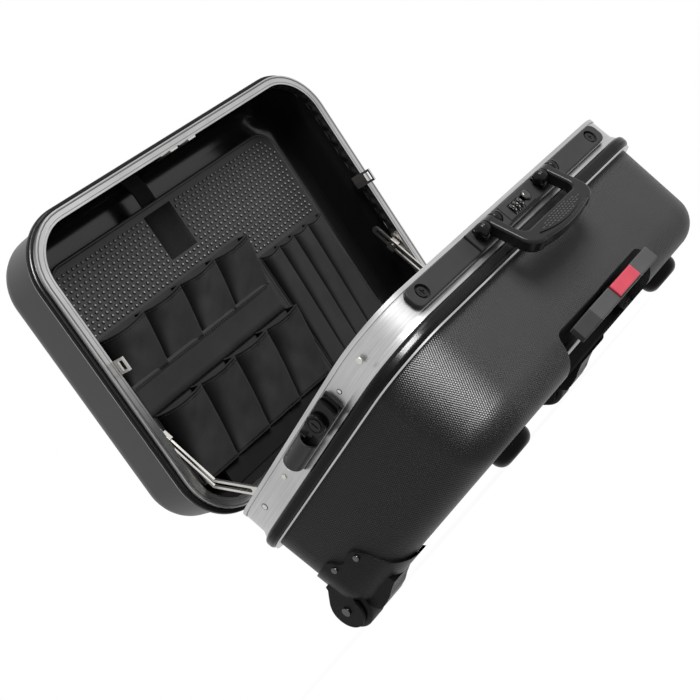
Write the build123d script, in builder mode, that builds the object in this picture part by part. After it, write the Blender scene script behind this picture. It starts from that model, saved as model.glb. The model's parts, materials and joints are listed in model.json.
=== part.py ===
from build123d import *
import os
from math import atan2, cos, degrees, hypot, radians, sin

# Rolling tool case with an aluminium frame, lying on its feet and wheels, lid open.
# Millimetres: +X right along the front, +Y to the hinges, +Z up, floor at Z = 0.

# Case outline, at the thin lip under the base frame's bumper
CASE_W = 490
CASE_D = 373
CORNER_R = 66
CASE_Y = -24.86
FRONT_Y = -CASE_D / 2
SIDE_X = CASE_W / 2

# Levels of the base
SHELL_BOTTOM = 12
LIP_Z = 121
BUMPER_Z = (122.8, 136)
LEDGE_TOP = 142.6
SHELL_TOP = 146
SKIRT_Z = 155
GROOVE_Z = (165, 166.2)
RIM_Z = 170.3

# Levels of the lid, given with the lid closed
LID_GAP = 0.3
LID_RIM = RIM_Z + LID_GAP
LID_GROOVE = (176.5, 177.4)
LID_BUMPER = (177.4, 186)
LID_LIP = 187.5
LID_TOP = LID_RIM + 100
LID_SKIRT = 183

# How far each surface stands inside the case outline
SHELL_INSET = 6.5
COLLAR_INSET = 7
FACE_INSET = 4.2
RIM_INSET = 3.2
LID_RIM_INSET = 3.5
GROOVE_INSET = 5
LEDGE_INSET = 1
BUMPER_OUT = -3
LID_BUMPER_OUT = -1
PROFILE_IN = 6.7
SKIRT_OUT = 12.5
SKIRT_IN = 14.5
PROFILE_T = 2.5
PLAY = 0.4

# Shells
WALL = 3
DRAFT = 2.6
BASE_EDGE_R = 32
LID_EDGE_R = 28

# Lid hinge
LID_ANGLE = 67.09
HINGE_Y = 191.3
HINGE_Z = 168.9
HINGE_X = (-150, 0, 150)
HINGE_HALF = 25
KNUCKLE_R = 4
KNUCKLE_HALF = 8.7
HINGE_PIN_R = 1.8

# Telescopic handle under the base
RECESS_HALF = 90
RECESS_BACK = -120
RECESS_TOP = 44
TROUGH_HALF = 70
TROUGH_BACK = 140
TROUGH_TOP = 42
TUBE_X = 55
TUBE_Z = 29
TUBE_W = 20
TUBE_H = 15
TUBE_WALL = 1.2
TUBE_PLAY = 0.2
GRIP_FRONT = -203
GRIP_BACK = -178
GRIP_HALF = 75
GRIP_Z = (21, 37)
BUTTON_HALF = 22
BUTTON_Z = (22.5, 36.5)

# Wheels and feet
WHEEL_R = 26
WHEEL_X = (200, 227.5)
AXLE_Y = 160
AXLE_R = 3
RUNNING = 0.05
SEAT = 0.02
FORK_X = (194, 233)
FORK_SLOT = (198, 229.5)
FORK_R = WHEEL_R - 5.5
FORK_EDGE = ((-20, -2), (18, 9), (12, 17), (3, 23), (-5, 28), (-7, 32), (-44, 32))
SKID_X = (194, 224)
SKID_EDGE = ((82, 9), (94, 6.5), (106, 3), (120, 1.2), (130, 1.6), (135, 6), (137, 14), (137, 30), (82, 30))
GUARD_T = 3
GUARD_X = (194, 260)
GUARD_EDGE = ((120, 72), (111, 70.5), (103, 63), (94, 58.5), (84, 61), (73, 60), (64, 52), (57, 38), (53, 24))
GUARD_TONGUE = ((53, 24), (50, 18), (47, 13), (43, 9))
GUARD_RIVETS = ((112, 61), (73, 52))
FOOT_X = 166
FOOT_Y = -109
FOOT_R = 22.5

# Handle plate, carry handle and lock on the front face
FACE_Y = FRONT_Y + FACE_INSET
PLATE_HALF = 186
PLATE_Z = (143.4, 165.4)
PLATE_T = 5
CENTRE_HALF = 80
CENTRE_T = 8.5
PLATE_SCREW_X = 168
PIVOT_Y = -199
PIVOT_Z = 156
HANG_ANGLE = 15.8
ARM_X = (51.5, 62.5)
LUG_X = ((43, 51), (63, 71))
LUG_R = 7.5
PIN_R = 2.5
HANDLE_T = 14
HANDLE_LENGTH = 57
GRIP_DEPTH = 23
LOCK_X = (-22, 27)
LOCK_Z = (145, 163.5)
DIAL_X = (-9, -2, 5)
DIAL_R = 6.5
DIAL_W = 5
DIAL_Y = FACE_Y - 6.5
DIAL_Z = 152.5
LOCK_BUTTON_X = 19
SHANK_HALF = 3.2
SHANK_Z = (150.8, 157.2)
SPINDLE_R = 1.2
STEM_X = (19.2, 22)
STEM_Z = (153, 161.8)
LOCK_TRAVEL = 5
HOOK_X = (-15.5, 15.5)
HOOK_Z = (157, 162)

# Side latches
FACE_X = SIDE_X - FACE_INSET
LATCH_Z = 154
LATCH_Y = (-87, 20)
COVER_FRONT = -22
COVER_R = 11
SLIDER_BACK = -36
KEY_Y = -54
KEY_R = 6.5
BOLT_Y = (-21, -13)
BOLT_Z = (158, 162.5)
BOLT_END = 231.6
BOLT_WAY = 225

# Lid stays: base pivot, bend and free end at rest, and the lid's pin
STAY_PIVOT = (102, 154)
STAY_BEND = (160, 215)
STAY_END = (158.5, 312)
STAY_PIN = (159, 284)
STAY_W = 11
STAY_SLOT = 5
STAY_X = (222.2, 224.8)
CLIP_X = (220.4, 226.6)
CLIP_W = 16
CLIP_H = 11
BRACKET_X = (226.9, 228.8, 230.3)
BRACKET_Z = 172
STRIKER_X = (227.8, 230.2)
STRIKER_W = 16
STRIKER_TOP = 186

# Tool board inside the lid, given with the lid closed
BOARD_Z = LID_RIM + 64
BOARD_T = 3
BOARD_HALF = 197
BOARD_Y = (-135, 150)
BOARD_R = 24
ROLL_HALF = 150
ROLL_Y = BOARD_Y[1] + 0.6
ROLL_Z = BOARD_Z + BOARD_T / 2
ROLL_R = 1.3
ROLL_PLAY = 0.3
HINGE_STRIP_Y = (ROLL_Y + 0.3, 174)

# Pocket rows on the board: span across, span from mouth to seam, pockets, depth at the mouth
UPPER_ROW = ((-190, 58), (-45, 36), 4, 22)
LOWER_ROW = ((-184, 58), (56, 148), 4, 26)
SIDE_ROW = ((70, 188), (-11, 148), 4, 10)
SEAM_SHARE = 0.2
SEAM_GAP = 0.5
RIDGE = 0.92
SHOULDER = (0.12, 0.66)

# Hook patch on the board and the strap behind it
PATCH_X = (-41, 4)
PATCH_Y = (-127, -70)
PATCH_T = 1.5
STRAP_X = (-30, -6)
STRAP_Y = (-173.5, -122)
STRAP_Z = (BOARD_Z + 8, BOARD_Z + 10)

STEM_WAY = (STEM_X[0] - LOCK_TRAVEL - 0.4, STEM_X[1] + 0.4)
BASE = Location((0, CASE_Y, 0))
TO_HINGE = Location((0, -HINGE_Y, -HINGE_Z))
LID = BASE * Location((0, HINGE_Y, HINGE_Z), (-LID_ANGLE, 0, 0)) * TO_HINGE
SIDES = {"left": -1, "right": 1}


def save(piece, name, place=BASE):
    """Label a finished piece and write it where it stands on the case."""
    piece.part.label = name
    placed = piece.part.moved(place)
    placed.label = name
    export_step(placed, f"parts/{name}.step")


def block(x, y, z, mode=Mode.ADD):
    """Box between two coordinates on each axis."""
    spans = [sorted(span) for span in (x, y, z)]
    with Locations(tuple(sum(span) / 2 for span in spans)):
        Box(*(span[1] - span[0] for span in spans), mode=mode)


def bar_x(x, y, z, radius, mode=Mode.ADD):
    """Round bar along X."""
    with Locations((sum(x) / 2, y, z)):
        Cylinder(radius, abs(x[1] - x[0]), rotation=(0, 90, 0), mode=mode)


def bar_y(x, y, z, radius, mode=Mode.ADD):
    """Round bar along Y."""
    with Locations((x, sum(y) / 2, z)):
        Cylinder(radius, abs(y[1] - y[0]), rotation=(90, 0, 0), mode=mode)


def outline(inset, z):
    """Rounded outline of the case at a level, drawn in by an inset."""
    with BuildSketch(Plane.XY.offset(z)) as flat:
        RectangleRounded(CASE_W - 2 * inset, CASE_D - 2 * inset, CORNER_R - inset)
    return flat.sketch


def tub(inset, rim, end, edge_r):
    """Solid tub from its rim to its closed end, drafted and rounded there."""
    upward = end > rim
    with BuildPart() as solid:
        way = (0, 0, 1 if upward else -1)
        extrude(outline(inset, rim), amount=abs(end - rim), dir=way, taper=DRAFT)
        fillet(solid.edges().group_by(Axis.Z)[-1 if upward else 0], edge_r)
    return solid.part


def eased(span, play=PLAY):
    """Span widened by a little play at both ends."""
    return span[0] - play, span[1] + play


def handle_bay(grow):
    """Recess and trough under the base for the telescopic handle."""
    with BuildPart() as bay:
        half = RECESS_HALF + grow
        block((-half, half), (-CASE_D, RECESS_BACK + grow), (0, RECESS_TOP + grow))
        fillet(bay.edges().filter_by(Axis.Y).group_by(Axis.Z)[-1], 10)
        half = TROUGH_HALF + grow
        block((-half, half), (RECESS_BACK - 1, TROUGH_BACK + grow), (0, TROUGH_TOP + grow))
    return bay.part


def wheel_wells(grow):
    """Round wells that the wheels turn in."""
    with BuildPart() as wells:
        for side in SIDES.values():
            bar_x((side * (FORK_X[0] - 1 - grow), side * SIDE_X), AXLE_Y, WHEEL_R, WHEEL_R + 3 + grow)
    return wells.part


os.makedirs("parts", exist_ok=True)

# Base shell: drafted tub with a collar that stands inside the frame
with BuildPart() as base_hollow:
    add(tub(SHELL_INSET + WALL, LIP_Z, SHELL_BOTTOM + WALL, BASE_EDGE_R - WALL))
    extrude(outline(COLLAR_INSET + WALL, LIP_Z - 6), amount=SHELL_TOP - LIP_Z + 6)
    add(handle_bay(WALL), mode=Mode.SUBTRACT)
    add(wheel_wells(WALL), mode=Mode.SUBTRACT)

with BuildPart() as base_shell:
    add(tub(SHELL_INSET, LIP_Z, SHELL_BOTTOM, BASE_EDGE_R))
    extrude(outline(COLLAR_INSET, LIP_Z - 6), amount=SHELL_TOP - LIP_Z + 6)
    add(handle_bay(0), mode=Mode.SUBTRACT)
    add(wheel_wells(0), mode=Mode.SUBTRACT)
    add(base_hollow.part, mode=Mode.SUBTRACT)
save(base_shell, "base_shell")

# Base frame: one aluminium profile bent round the case
with BuildPart() as base_frame:
    extrude(outline(0, LIP_Z), amount=BUMPER_Z[0] - LIP_Z)
    extrude(outline(FACE_INSET, BUMPER_Z[0]), amount=GROOVE_Z[0] - BUMPER_Z[0])
    ledge_h = LEDGE_TOP - BUMPER_Z[1]
    ledge_taper = degrees(atan2(FACE_INSET - LEDGE_INSET, ledge_h))
    extrude(outline(LEDGE_INSET, BUMPER_Z[1]), amount=ledge_h, taper=ledge_taper)
    extrude(outline(GROOVE_INSET, GROOVE_Z[0]), amount=GROOVE_Z[1] - GROOVE_Z[0])
    extrude(outline(RIM_INSET, GROOVE_Z[1]), amount=RIM_Z - GROOVE_Z[1])
    extrude(outline(COLLAR_INSET - 0.2, LIP_Z), amount=SHELL_TOP - LIP_Z, mode=Mode.SUBTRACT)
    extrude(outline(SKIRT_OUT, SHELL_TOP), amount=2, mode=Mode.SUBTRACT)
    extrude(outline(PROFILE_IN, SHELL_TOP + 2), amount=SKIRT_Z - SHELL_TOP - 2, mode=Mode.SUBTRACT)
    with BuildSketch(Plane.XY.offset(SKIRT_Z)):
        add(outline(PROFILE_IN, 0))
        add(outline(SKIRT_OUT, 0), mode=Mode.SUBTRACT)
    extrude(amount=RIM_Z - PROFILE_T - SKIRT_Z, mode=Mode.SUBTRACT)
    extrude(outline(SKIRT_IN, SKIRT_Z), amount=RIM_Z - SKIRT_Z, mode=Mode.SUBTRACT)
    for side in SIDES.values():
        block((side * BOLT_WAY, side * SIDE_X), eased(BOLT_Y), eased(BOLT_Z), mode=Mode.SUBTRACT)
    for x in HOOK_X:
        block((x + 0.5, x + 12), (FACE_Y + 4, FRONT_Y + 20), eased(HOOK_Z), mode=Mode.SUBTRACT)
    block(STEM_WAY, (FRONT_Y, FACE_Y + 4), eased(STEM_Z), mode=Mode.SUBTRACT)
save(base_frame, "base_frame")


def bumper(levels, out, round_r):
    """Half-round rubber strip round the frame."""
    with BuildPart() as strip:
        extrude(outline(out, levels[0]), amount=levels[1] - levels[0])
        rims = strip.edges().group_by(Axis.Z)
        fillet(rims[0] + rims[-1], round_r)
        extrude(outline(FACE_INSET, levels[0]), amount=levels[1] - levels[0], mode=Mode.SUBTRACT)
    return strip


save(bumper(BUMPER_Z, BUMPER_OUT, 5), "base_bumper")

# Domed feet at the front
with BuildPart() as front_feet:
    for side in SIDES.values():
        with Locations((side * FOOT_X, FOOT_Y, 0)):
            Cylinder(FOOT_R, SHELL_BOTTOM, align=(Align.CENTER, Align.CENTER, Align.MIN))
    fillet(front_feet.edges().group_by(Axis.Z)[0], SHELL_BOTTOM - 1)
save(front_feet, "front_feet")


def wheel_bracket(side):
    """Moulded corner guard with the skid and fork that carry one wheel."""
    with BuildPart() as bracket:
        with BuildSketch(Plane.YZ.offset(min(side * GUARD_X[0], side * GUARD_X[1]))):
            with BuildLine():
                Polyline((200, 0), (200, 72), (120, 72))
                Spline(*GUARD_EDGE)
                Spline(*GUARD_TONGUE)
                Polyline(GUARD_TONGUE[-1], (GUARD_TONGUE[-1][0], 0), (200, 0))
            make_face()
        extrude(amount=GUARD_X[1] - GUARD_X[0])
        skin = tub(SHELL_INSET - GUARD_T, LIP_Z, SHELL_BOTTOM - GUARD_T, BASE_EDGE_R + GUARD_T)
        add(skin, mode=Mode.INTERSECT)
        with BuildSketch(Plane.YZ.offset(min(side * FORK_X[0], side * FORK_X[1]))):
            with Locations((AXLE_Y, WHEEL_R)):
                Circle(FORK_R)
            with BuildLine():
                Polyline(*((AXLE_Y + y, WHEEL_R + z) for y, z in FORK_EDGE), close=True)
            make_face()
        extrude(amount=FORK_X[1] - FORK_X[0])
        with BuildSketch(Plane.YZ.offset(min(side * SKID_X[0], side * SKID_X[1]))):
            with BuildLine():
                Polyline(*SKID_EDGE, close=True)
            make_face()
        extrude(amount=SKID_X[1] - SKID_X[0])
        add(tub(SHELL_INSET - 0.2, LIP_Z, SHELL_BOTTOM - 0.1, BASE_EDGE_R), mode=Mode.SUBTRACT)
        bar_x((side * FORK_SLOT[0], side * FORK_SLOT[1]), AXLE_Y, WHEEL_R, WHEEL_R + 1.5, mode=Mode.SUBTRACT)
        bar_x((side * 150, side * 260), AXLE_Y, WHEEL_R, AXLE_R + SEAT, mode=Mode.SUBTRACT)
    return bracket


def wheel_tyre(side):
    """Rubber tread of one wheel."""
    with BuildPart() as tyre:
        bar_x((side * WHEEL_X[0], side * WHEEL_X[1]), AXLE_Y, WHEEL_R, WHEEL_R)
        fillet(tyre.edges().filter_by(GeomType.CIRCLE), 4)
        bar_x((side * WHEEL_X[0], side * WHEEL_X[1]), AXLE_Y, WHEEL_R, WHEEL_R - 8, mode=Mode.SUBTRACT)
    return tyre


def wheel_hub(side):
    """Moulded hub of one wheel, dished on both sides."""
    with BuildPart() as hub:
        bar_x((side * WHEEL_X[0], side * WHEEL_X[1]), AXLE_Y, WHEEL_R, WHEEL_R - 8.05)
        for face, inward in zip(WHEEL_X, (1, -1)):
            dish = (side * face, side * (face + 5 * inward))
            bar_x(dish, AXLE_Y, WHEEL_R, WHEEL_R - 11, mode=Mode.SUBTRACT)
            bar_x(dish, AXLE_Y, WHEEL_R, 6)
        bar_x((side * WHEEL_X[0], side * WHEEL_X[1]), AXLE_Y, WHEEL_R, AXLE_R + RUNNING, mode=Mode.SUBTRACT)
    return hub


for name, side in SIDES.items():
    save(wheel_bracket(side), f"wheel_bracket_{name}")
    save(wheel_tyre(side), f"wheel_tyre_{name}")
    save(wheel_hub(side), f"wheel_hub_{name}")

# Axles with riveted heads
with BuildPart() as wheel_axles:
    for side in SIDES.values():
        bar_x((side * (FORK_X[0] - 0.8), side * FORK_X[1]), AXLE_Y, WHEEL_R, AXLE_R)
        bar_x((side * FORK_X[1], side * (FORK_X[1] + 2)), AXLE_Y, WHEEL_R, AXLE_R + 2)
save(wheel_axles, "wheel_axles")

# Rivets through the wheel guards
with BuildPart() as guard_rivets:
    for side in SIDES.values():
        for y, z in GUARD_RIVETS:
            bar_x((side * 236, side * 241), y, z, 3.6)
    fillet(guard_rivets.edges().filter_by(GeomType.CIRCLE).group_by(lambda e: abs(e.center().X))[-1], 1.8)
save(guard_rivets, "guard_rivets")

# Rivets and screws on the frame's sides
with BuildPart() as frame_rivets:
    for side in SIDES.values():
        for y, radius in ((-147, 3.5), (33, 2.5), (48, 2.8)):
            bar_x((side * FACE_X, side * (FACE_X + 1.6)), y, LATCH_Z, radius)
    fillet(frame_rivets.edges().filter_by(GeomType.CIRCLE).group_by(lambda e: abs(e.center().X))[-1], 0.9)
save(frame_rivets, "frame_rivets")

# Handle plate on the front face, with a thicker middle that holds the lock
with BuildPart() as handle_plate:
    plate_mid = sum(PLATE_Z) / 2
    plate_h = PLATE_Z[1] - PLATE_Z[0]
    with BuildSketch(Plane.XZ.offset(-FACE_Y)):
        with Locations((0, plate_mid)):
            RectangleRounded(2 * PLATE_HALF, plate_h, 8)
    extrude(amount=PLATE_T)
    fillet(handle_plate.edges().group_by(Axis.Y)[0], 1.5)
    block((-CENTRE_HALF, CENTRE_HALF), (FACE_Y - CENTRE_T, FACE_Y), PLATE_Z)
    fillet(handle_plate.edges().group_by(Axis.Y)[0], 2)
    for x in (-PLATE_SCREW_X, PLATE_SCREW_X):
        bar_y(x, (FACE_Y - PLATE_T, FACE_Y - 1.5), plate_mid, 8, mode=Mode.SUBTRACT)
    block(LOCK_X, (FACE_Y - 20, FACE_Y), LOCK_Z, mode=Mode.SUBTRACT)
save(handle_plate, "handle_plate")

# Cross-slotted screws sunk in the plate's ends
with BuildPart() as plate_screws:
    for x in (-PLATE_SCREW_X, PLATE_SCREW_X):
        bar_y(x, (FACE_Y - 4, FACE_Y - 1.5), plate_mid, 5.5)
        for length, width in ((6, 1.2), (1.2, 6)):
            block((x - length / 2, x + length / 2), (FACE_Y - 4, FACE_Y - 2.8),
                  (plate_mid - width / 2, plate_mid + width / 2), mode=Mode.SUBTRACT)
save(plate_screws, "plate_screws")

# Horn-shaped lugs that flank each arm of the carry handle
with BuildPart() as handle_lugs:
    lug_face = FACE_Y - CENTRE_T
    for side in SIDES.values():
        for x in LUG_X:
            with BuildSketch(Plane.YZ.offset(min(side * x[0], side * x[1]))):
                with BuildLine():
                    Line((lug_face, PIVOT_Z - 9), (lug_face, PIVOT_Z + 8))
                    Line((lug_face, PIVOT_Z + 8), (PIVOT_Y, PIVOT_Z + LUG_R))
                    top, nose, heel = (0, LUG_R), (-LUG_R, 0), (0, -LUG_R)
                    ThreePointArc(*((PIVOT_Y + y, PIVOT_Z + z) for y, z in (top, nose, heel)))
                    Line((PIVOT_Y, PIVOT_Z - LUG_R), (lug_face, PIVOT_Z - 9))
                make_face()
            extrude(amount=x[1] - x[0])
    rims = handle_lugs.edges().filter_by(lambda e: abs(e.tangent_at(0.5).X) < 0.1)
    fillet(rims.filter_by(lambda e: e.center().Y < lug_face - 1), 2.5)
    for side in SIDES.values():
        bar_x((side * 40, side * 75), PIVOT_Y, PIVOT_Z, PIN_R + SEAT, mode=Mode.SUBTRACT)
save(handle_lugs, "handle_lugs")

with BuildPart() as handle_pins:
    for side in SIDES.values():
        bar_x((side * LUG_X[0][0], side * LUG_X[1][1]), PIVOT_Y, PIVOT_Z, PIN_R)
save(handle_pins, "handle_pins")

# Carry handle: flat arms and a broad bowed grip in one plane, hanging on its pins
hang = radians(HANG_ANGLE)
handle_plane = Plane(origin=(0, PIVOT_Y, PIVOT_Z), x_dir=(1, 0, 0), z_dir=(0, -cos(hang), sin(hang)))
with BuildPart() as carry_handle:
    with BuildSketch(handle_plane):
        with BuildLine():
            Line((-ARM_X[1], 0), (-ARM_X[1], 22 - HANDLE_LENGTH))
            TangentArc((-ARM_X[1], 22 - HANDLE_LENGTH), (-ARM_X[1] + 20, 4 - HANDLE_LENGTH), tangent=(0, -1))
            ThreePointArc((-ARM_X[1] + 20, 4 - HANDLE_LENGTH), (0, -HANDLE_LENGTH),
                          (ARM_X[1] - 20, 4 - HANDLE_LENGTH))
            TangentArc((ARM_X[1], 22 - HANDLE_LENGTH), (ARM_X[1] - 20, 4 - HANDLE_LENGTH), tangent=(0, -1))
            Polyline((ARM_X[1], 22 - HANDLE_LENGTH), (ARM_X[1], 0), (-ARM_X[1], 0))
        make_face()
        with BuildSketch(mode=Mode.SUBTRACT):
            with Locations((0, (GRIP_DEPTH - HANDLE_LENGTH) / 2 + 10)):
                RectangleRounded(2 * ARM_X[0], HANDLE_LENGTH - GRIP_DEPTH + 20, 9)
    extrude(amount=HANDLE_T / 2, both=True)
    normal = handle_plane.z_dir
    long_edges = carry_handle.edges().filter_by(lambda e: abs(e.tangent_at(0.5).dot(normal)) < 0.1)
    fillet(long_edges.filter_by(lambda e: handle_plane.to_local_coords(e.center()).Y < -1), 3)
    for side in SIDES.values():
        bar_x((side * ARM_X[0], side * ARM_X[1]), PIVOT_Y, PIVOT_Z, HANDLE_T / 2)
        bar_x((side * ARM_X[0], side * ARM_X[1]), PIVOT_Y, PIVOT_Z, PIN_R + RUNNING, mode=Mode.SUBTRACT)
save(carry_handle, "carry_handle")

# Pointed-oval pad let into the grip's outer face
with BuildPart() as grip_pad:
    pad_half = 43
    pad_rise = 8
    pad_row = GRIP_DEPTH / 2 - HANDLE_LENGTH + 1
    with BuildSketch(handle_plane.offset(HANDLE_T / 2)):
        with BuildLine():
            ThreePointArc((-pad_half, pad_row), (0, pad_row + pad_rise), (pad_half, pad_row))
            ThreePointArc((pad_half, pad_row), (0, pad_row - pad_rise), (-pad_half, pad_row))
        make_face()
    extrude(amount=1.2)
save(grip_pad, "grip_pad")

# Combination lock let into the handle plate
with BuildPart() as lock_body:
    block(LOCK_X, (FACE_Y - CENTRE_T - 1, FACE_Y), LOCK_Z)
    fillet(lock_body.edges().group_by(Axis.Y)[0], 0.8)
    for x in DIAL_X:
        bar_x((x - DIAL_W / 2 - 0.4, x + DIAL_W / 2 + 0.4), DIAL_Y, DIAL_Z, DIAL_R + 0.5, mode=Mode.SUBTRACT)
    block(STEM_WAY, (FACE_Y - 2, FACE_Y), eased(STEM_Z), mode=Mode.SUBTRACT)
    button_way = (LOCK_BUTTON_X - SHANK_HALF - LOCK_TRAVEL - 0.3, LOCK_BUTTON_X + SHANK_HALF + PLAY)
    block(button_way, (FACE_Y - 12, FACE_Y), eased(SHANK_Z), mode=Mode.SUBTRACT)
    bar_x((DIAL_X[0] - 6, DIAL_X[-1] + 3.4), DIAL_Y, DIAL_Z, SPINDLE_R)
save(lock_body, "lock_body")

for number, x in enumerate(DIAL_X, 1):
    with BuildPart() as dial:
        bar_x((x - DIAL_W / 2, x + DIAL_W / 2), DIAL_Y, DIAL_Z, DIAL_R)
        bar_x((x - DIAL_W / 2, x + DIAL_W / 2), DIAL_Y, DIAL_Z, SPINDLE_R + RUNNING, mode=Mode.SUBTRACT)
    save(dial, f"lock_dial_{number}")

# Lock button with its stem, and the bolt with two hooks behind the frame's face
with BuildPart() as lock_button:
    shank = (LOCK_BUTTON_X - SHANK_HALF, LOCK_BUTTON_X + SHANK_HALF)
    block(shank, (FACE_Y - CENTRE_T - 1.2, FACE_Y - 1), SHANK_Z)
    with Locations((LOCK_BUTTON_X, FACE_Y - CENTRE_T - 1.2, sum(SHANK_Z) / 2)):
        Cylinder(5.5, 3, rotation=(90, 0, 0), align=(Align.CENTER, Align.CENTER, Align.MIN))
    fillet(lock_button.edges().group_by(Axis.Y)[0], 2.4)
save(lock_button, "lock_button")

with BuildPart() as lock_bolt:
    hook_z = eased(HOOK_Z, -PLAY / 2)
    block((HOOK_X[0] + 6.5, HOOK_X[1] + 11.5), (FACE_Y + 3, FACE_Y + 6.5), hook_z)
    for x in HOOK_X:
        block((x + 6.5, x + 11.5), (FACE_Y + 3, FRONT_Y + 19), hook_z)
    block(STEM_X, (FACE_Y - 1, FACE_Y + 3), STEM_Z)
save(lock_bolt, "lock_bolt")


def latch_housing(side):
    """Fixed back plate of a side latch with its half-round cover."""
    with BuildPart() as housing:
        block((side * FACE_X, side * (FACE_X + 1.5)), LATCH_Y, (LATCH_Z - COVER_R, LATCH_Z + COVER_R))
        with BuildSketch(Plane.XZ.offset(-LATCH_Y[1])):
            with Locations((side * FACE_X, LATCH_Z)):
                Circle(COVER_R)
                Circle(COVER_R - 2, mode=Mode.SUBTRACT)
            with Locations((side * (FACE_X - COVER_R), LATCH_Z)):
                Rectangle(2 * COVER_R, 3 * COVER_R, mode=Mode.SUBTRACT)
        extrude(amount=LATCH_Y[1] - COVER_FRONT)
        block((side * FACE_X, side * (FACE_X + 9)), (LATCH_Y[1] - 3, LATCH_Y[1]), (LATCH_Z - 7, LATCH_Z + 7))
        block((side * (FACE_X - 5), side * (FACE_X + 3)), eased(BOLT_Y), eased(BOLT_Z), mode=Mode.SUBTRACT)
    return housing


def latch_slider(side):
    """Thumb slider of a side latch, with the seat of its key cylinder."""
    near = FACE_X + 1.8
    with BuildPart() as slider:
        with BuildSketch(Plane.YZ.offset(min(side * near, side * (near + 4)))):
            with Locations(((LATCH_Y[0] + SLIDER_BACK) / 2, LATCH_Z)):
                RectangleRounded(SLIDER_BACK - LATCH_Y[0], 2 * COVER_R - 1, 6)
        extrude(amount=4)
        bar_x((side * (near + 3), side * (near + 8)), KEY_Y, LATCH_Z, 10)
        with BuildSketch(Plane.YZ.offset(min(side * (near + 3), side * (near + 8)))):
            with Locations((KEY_Y, LATCH_Z)):
                Circle(29)
                Circle(22, mode=Mode.SUBTRACT)
            with Locations((KEY_Y + 12, LATCH_Z)):
                Rectangle(72, 80, mode=Mode.SUBTRACT)
            with Locations((KEY_Y, LATCH_Z + 30)):
                Rectangle(80, 40, mode=Mode.SUBTRACT)
            with Locations((KEY_Y, LATCH_Z - 30)):
                Rectangle(80, 40, mode=Mode.SUBTRACT)
        extrude(amount=5)
        tail_z = (BOLT_Z[0] - 6, BOLT_Z[0] - 2)
        block((side * (near + 0.5), side * (near + 3)), (SLIDER_BACK - 2, BOLT_Y[1] - 2), tail_z)
        bar_x((side * (near + 1), side * (near + 12)), KEY_Y, LATCH_Z, KEY_R + RUNNING, mode=Mode.SUBTRACT)
    return slider


def latch_key(side):
    """Key cylinder with its keyway."""
    near = FACE_X + 3
    with BuildPart() as key:
        bar_x((side * near, side * (near + 8)), KEY_Y, LATCH_Z, KEY_R)
        block((side * (near + 4), side * (near + 8)), (KEY_Y - 0.8, KEY_Y + 0.8), (LATCH_Z - 4, LATCH_Z + 4),
              mode=Mode.SUBTRACT)
    return key


def latch_bolt(side):
    """Cross bolt that the slider's ramp drives through the lid's striker."""
    with BuildPart() as bolt:
        block((side * BOLT_END, side * (FACE_X + 2.5)), BOLT_Y, BOLT_Z)
    return bolt


for name, side in SIDES.items():
    save(latch_housing(side), f"latch_housing_{name}")
    save(latch_slider(side), f"latch_slider_{name}")
    save(latch_key(side), f"latch_key_{name}")
    save(latch_bolt(side), f"latch_bolt_{name}")


def tube_pair(width, height, wall, y):
    """Two rounded rectangular tubes along Y."""
    with BuildPart() as tubes:
        with BuildSketch(Plane.XZ.offset(-y[1])):
            with Locations((-TUBE_X, TUBE_Z), (TUBE_X, TUBE_Z)):
                RectangleRounded(width, height, 3)
                if wall:
                    RectangleRounded(width - 2 * wall, height - 2 * wall, 3 - wall, mode=Mode.SUBTRACT)
        extrude(amount=y[1] - y[0])
    return tubes


STEP = 2 * (TUBE_WALL + TUBE_PLAY)
save(tube_pair(TUBE_W, TUBE_H, TUBE_WALL, (-118, 138)), "tele_outer_tubes")
save(tube_pair(TUBE_W - STEP, TUBE_H - STEP, TUBE_WALL, (-126, 130)), "tele_mid_tubes")
save(tube_pair(TUBE_W - 2 * STEP, TUBE_H - 2 * STEP, TUBE_WALL, (GRIP_BACK, 122)), "tele_inner_tubes")

# Clamps that hold the outer tubes in the trough, and the cover below them
with BuildPart() as tele_clamps:
    for y in (-104, 104):
        block((-TROUGH_HALF + 1, TROUGH_HALF - 1), (y - 8, y + 8), (SHELL_BOTTOM + PROFILE_T, TROUGH_TOP))
    add(tube_pair(TUBE_W + 0.1, TUBE_H + 0.1, 0, (-130, 150)).part, mode=Mode.SUBTRACT)
save(tele_clamps, "tele_clamps")

with BuildPart() as tele_cover:
    block((-TROUGH_HALF + 0.5, TROUGH_HALF - 0.5), (RECESS_BACK + 2, TROUGH_BACK - 0.5),
          (SHELL_BOTTOM, SHELL_BOTTOM + PROFILE_T))
save(tele_cover, "tele_cover")

# Grip of the telescopic handle, tapered at both ends, with its release button
with BuildPart() as tele_grip:
    with BuildSketch(Plane.XY.offset(GRIP_Z[0])):
        with BuildLine():
            shoulder = GRIP_BACK - 6
            nose_half = GRIP_HALF - 13
            Polyline((-GRIP_HALF, GRIP_BACK), (-GRIP_HALF, shoulder), (-nose_half, GRIP_FRONT),
                     (nose_half, GRIP_FRONT), (GRIP_HALF, shoulder), (GRIP_HALF, GRIP_BACK), close=True)
        make_face()
    extrude(amount=GRIP_Z[1] - GRIP_Z[0])
    fillet(tele_grip.edges().filter_by(lambda e: e.center().Y < GRIP_BACK - 1), 1.5)
    pocket_x = eased((-BUTTON_HALF, BUTTON_HALF))
    block(pocket_x, (GRIP_FRONT, GRIP_FRONT + 10), eased(BUTTON_Z), mode=Mode.SUBTRACT)
save(tele_grip, "tele_grip")

with BuildPart() as tele_button:
    block((-BUTTON_HALF, BUTTON_HALF), (GRIP_FRONT - 2.5, GRIP_FRONT + 5), BUTTON_Z)
    fillet(tele_button.edges().group_by(Axis.Y)[0], 1.5)
save(tele_button, "tele_button")

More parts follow.
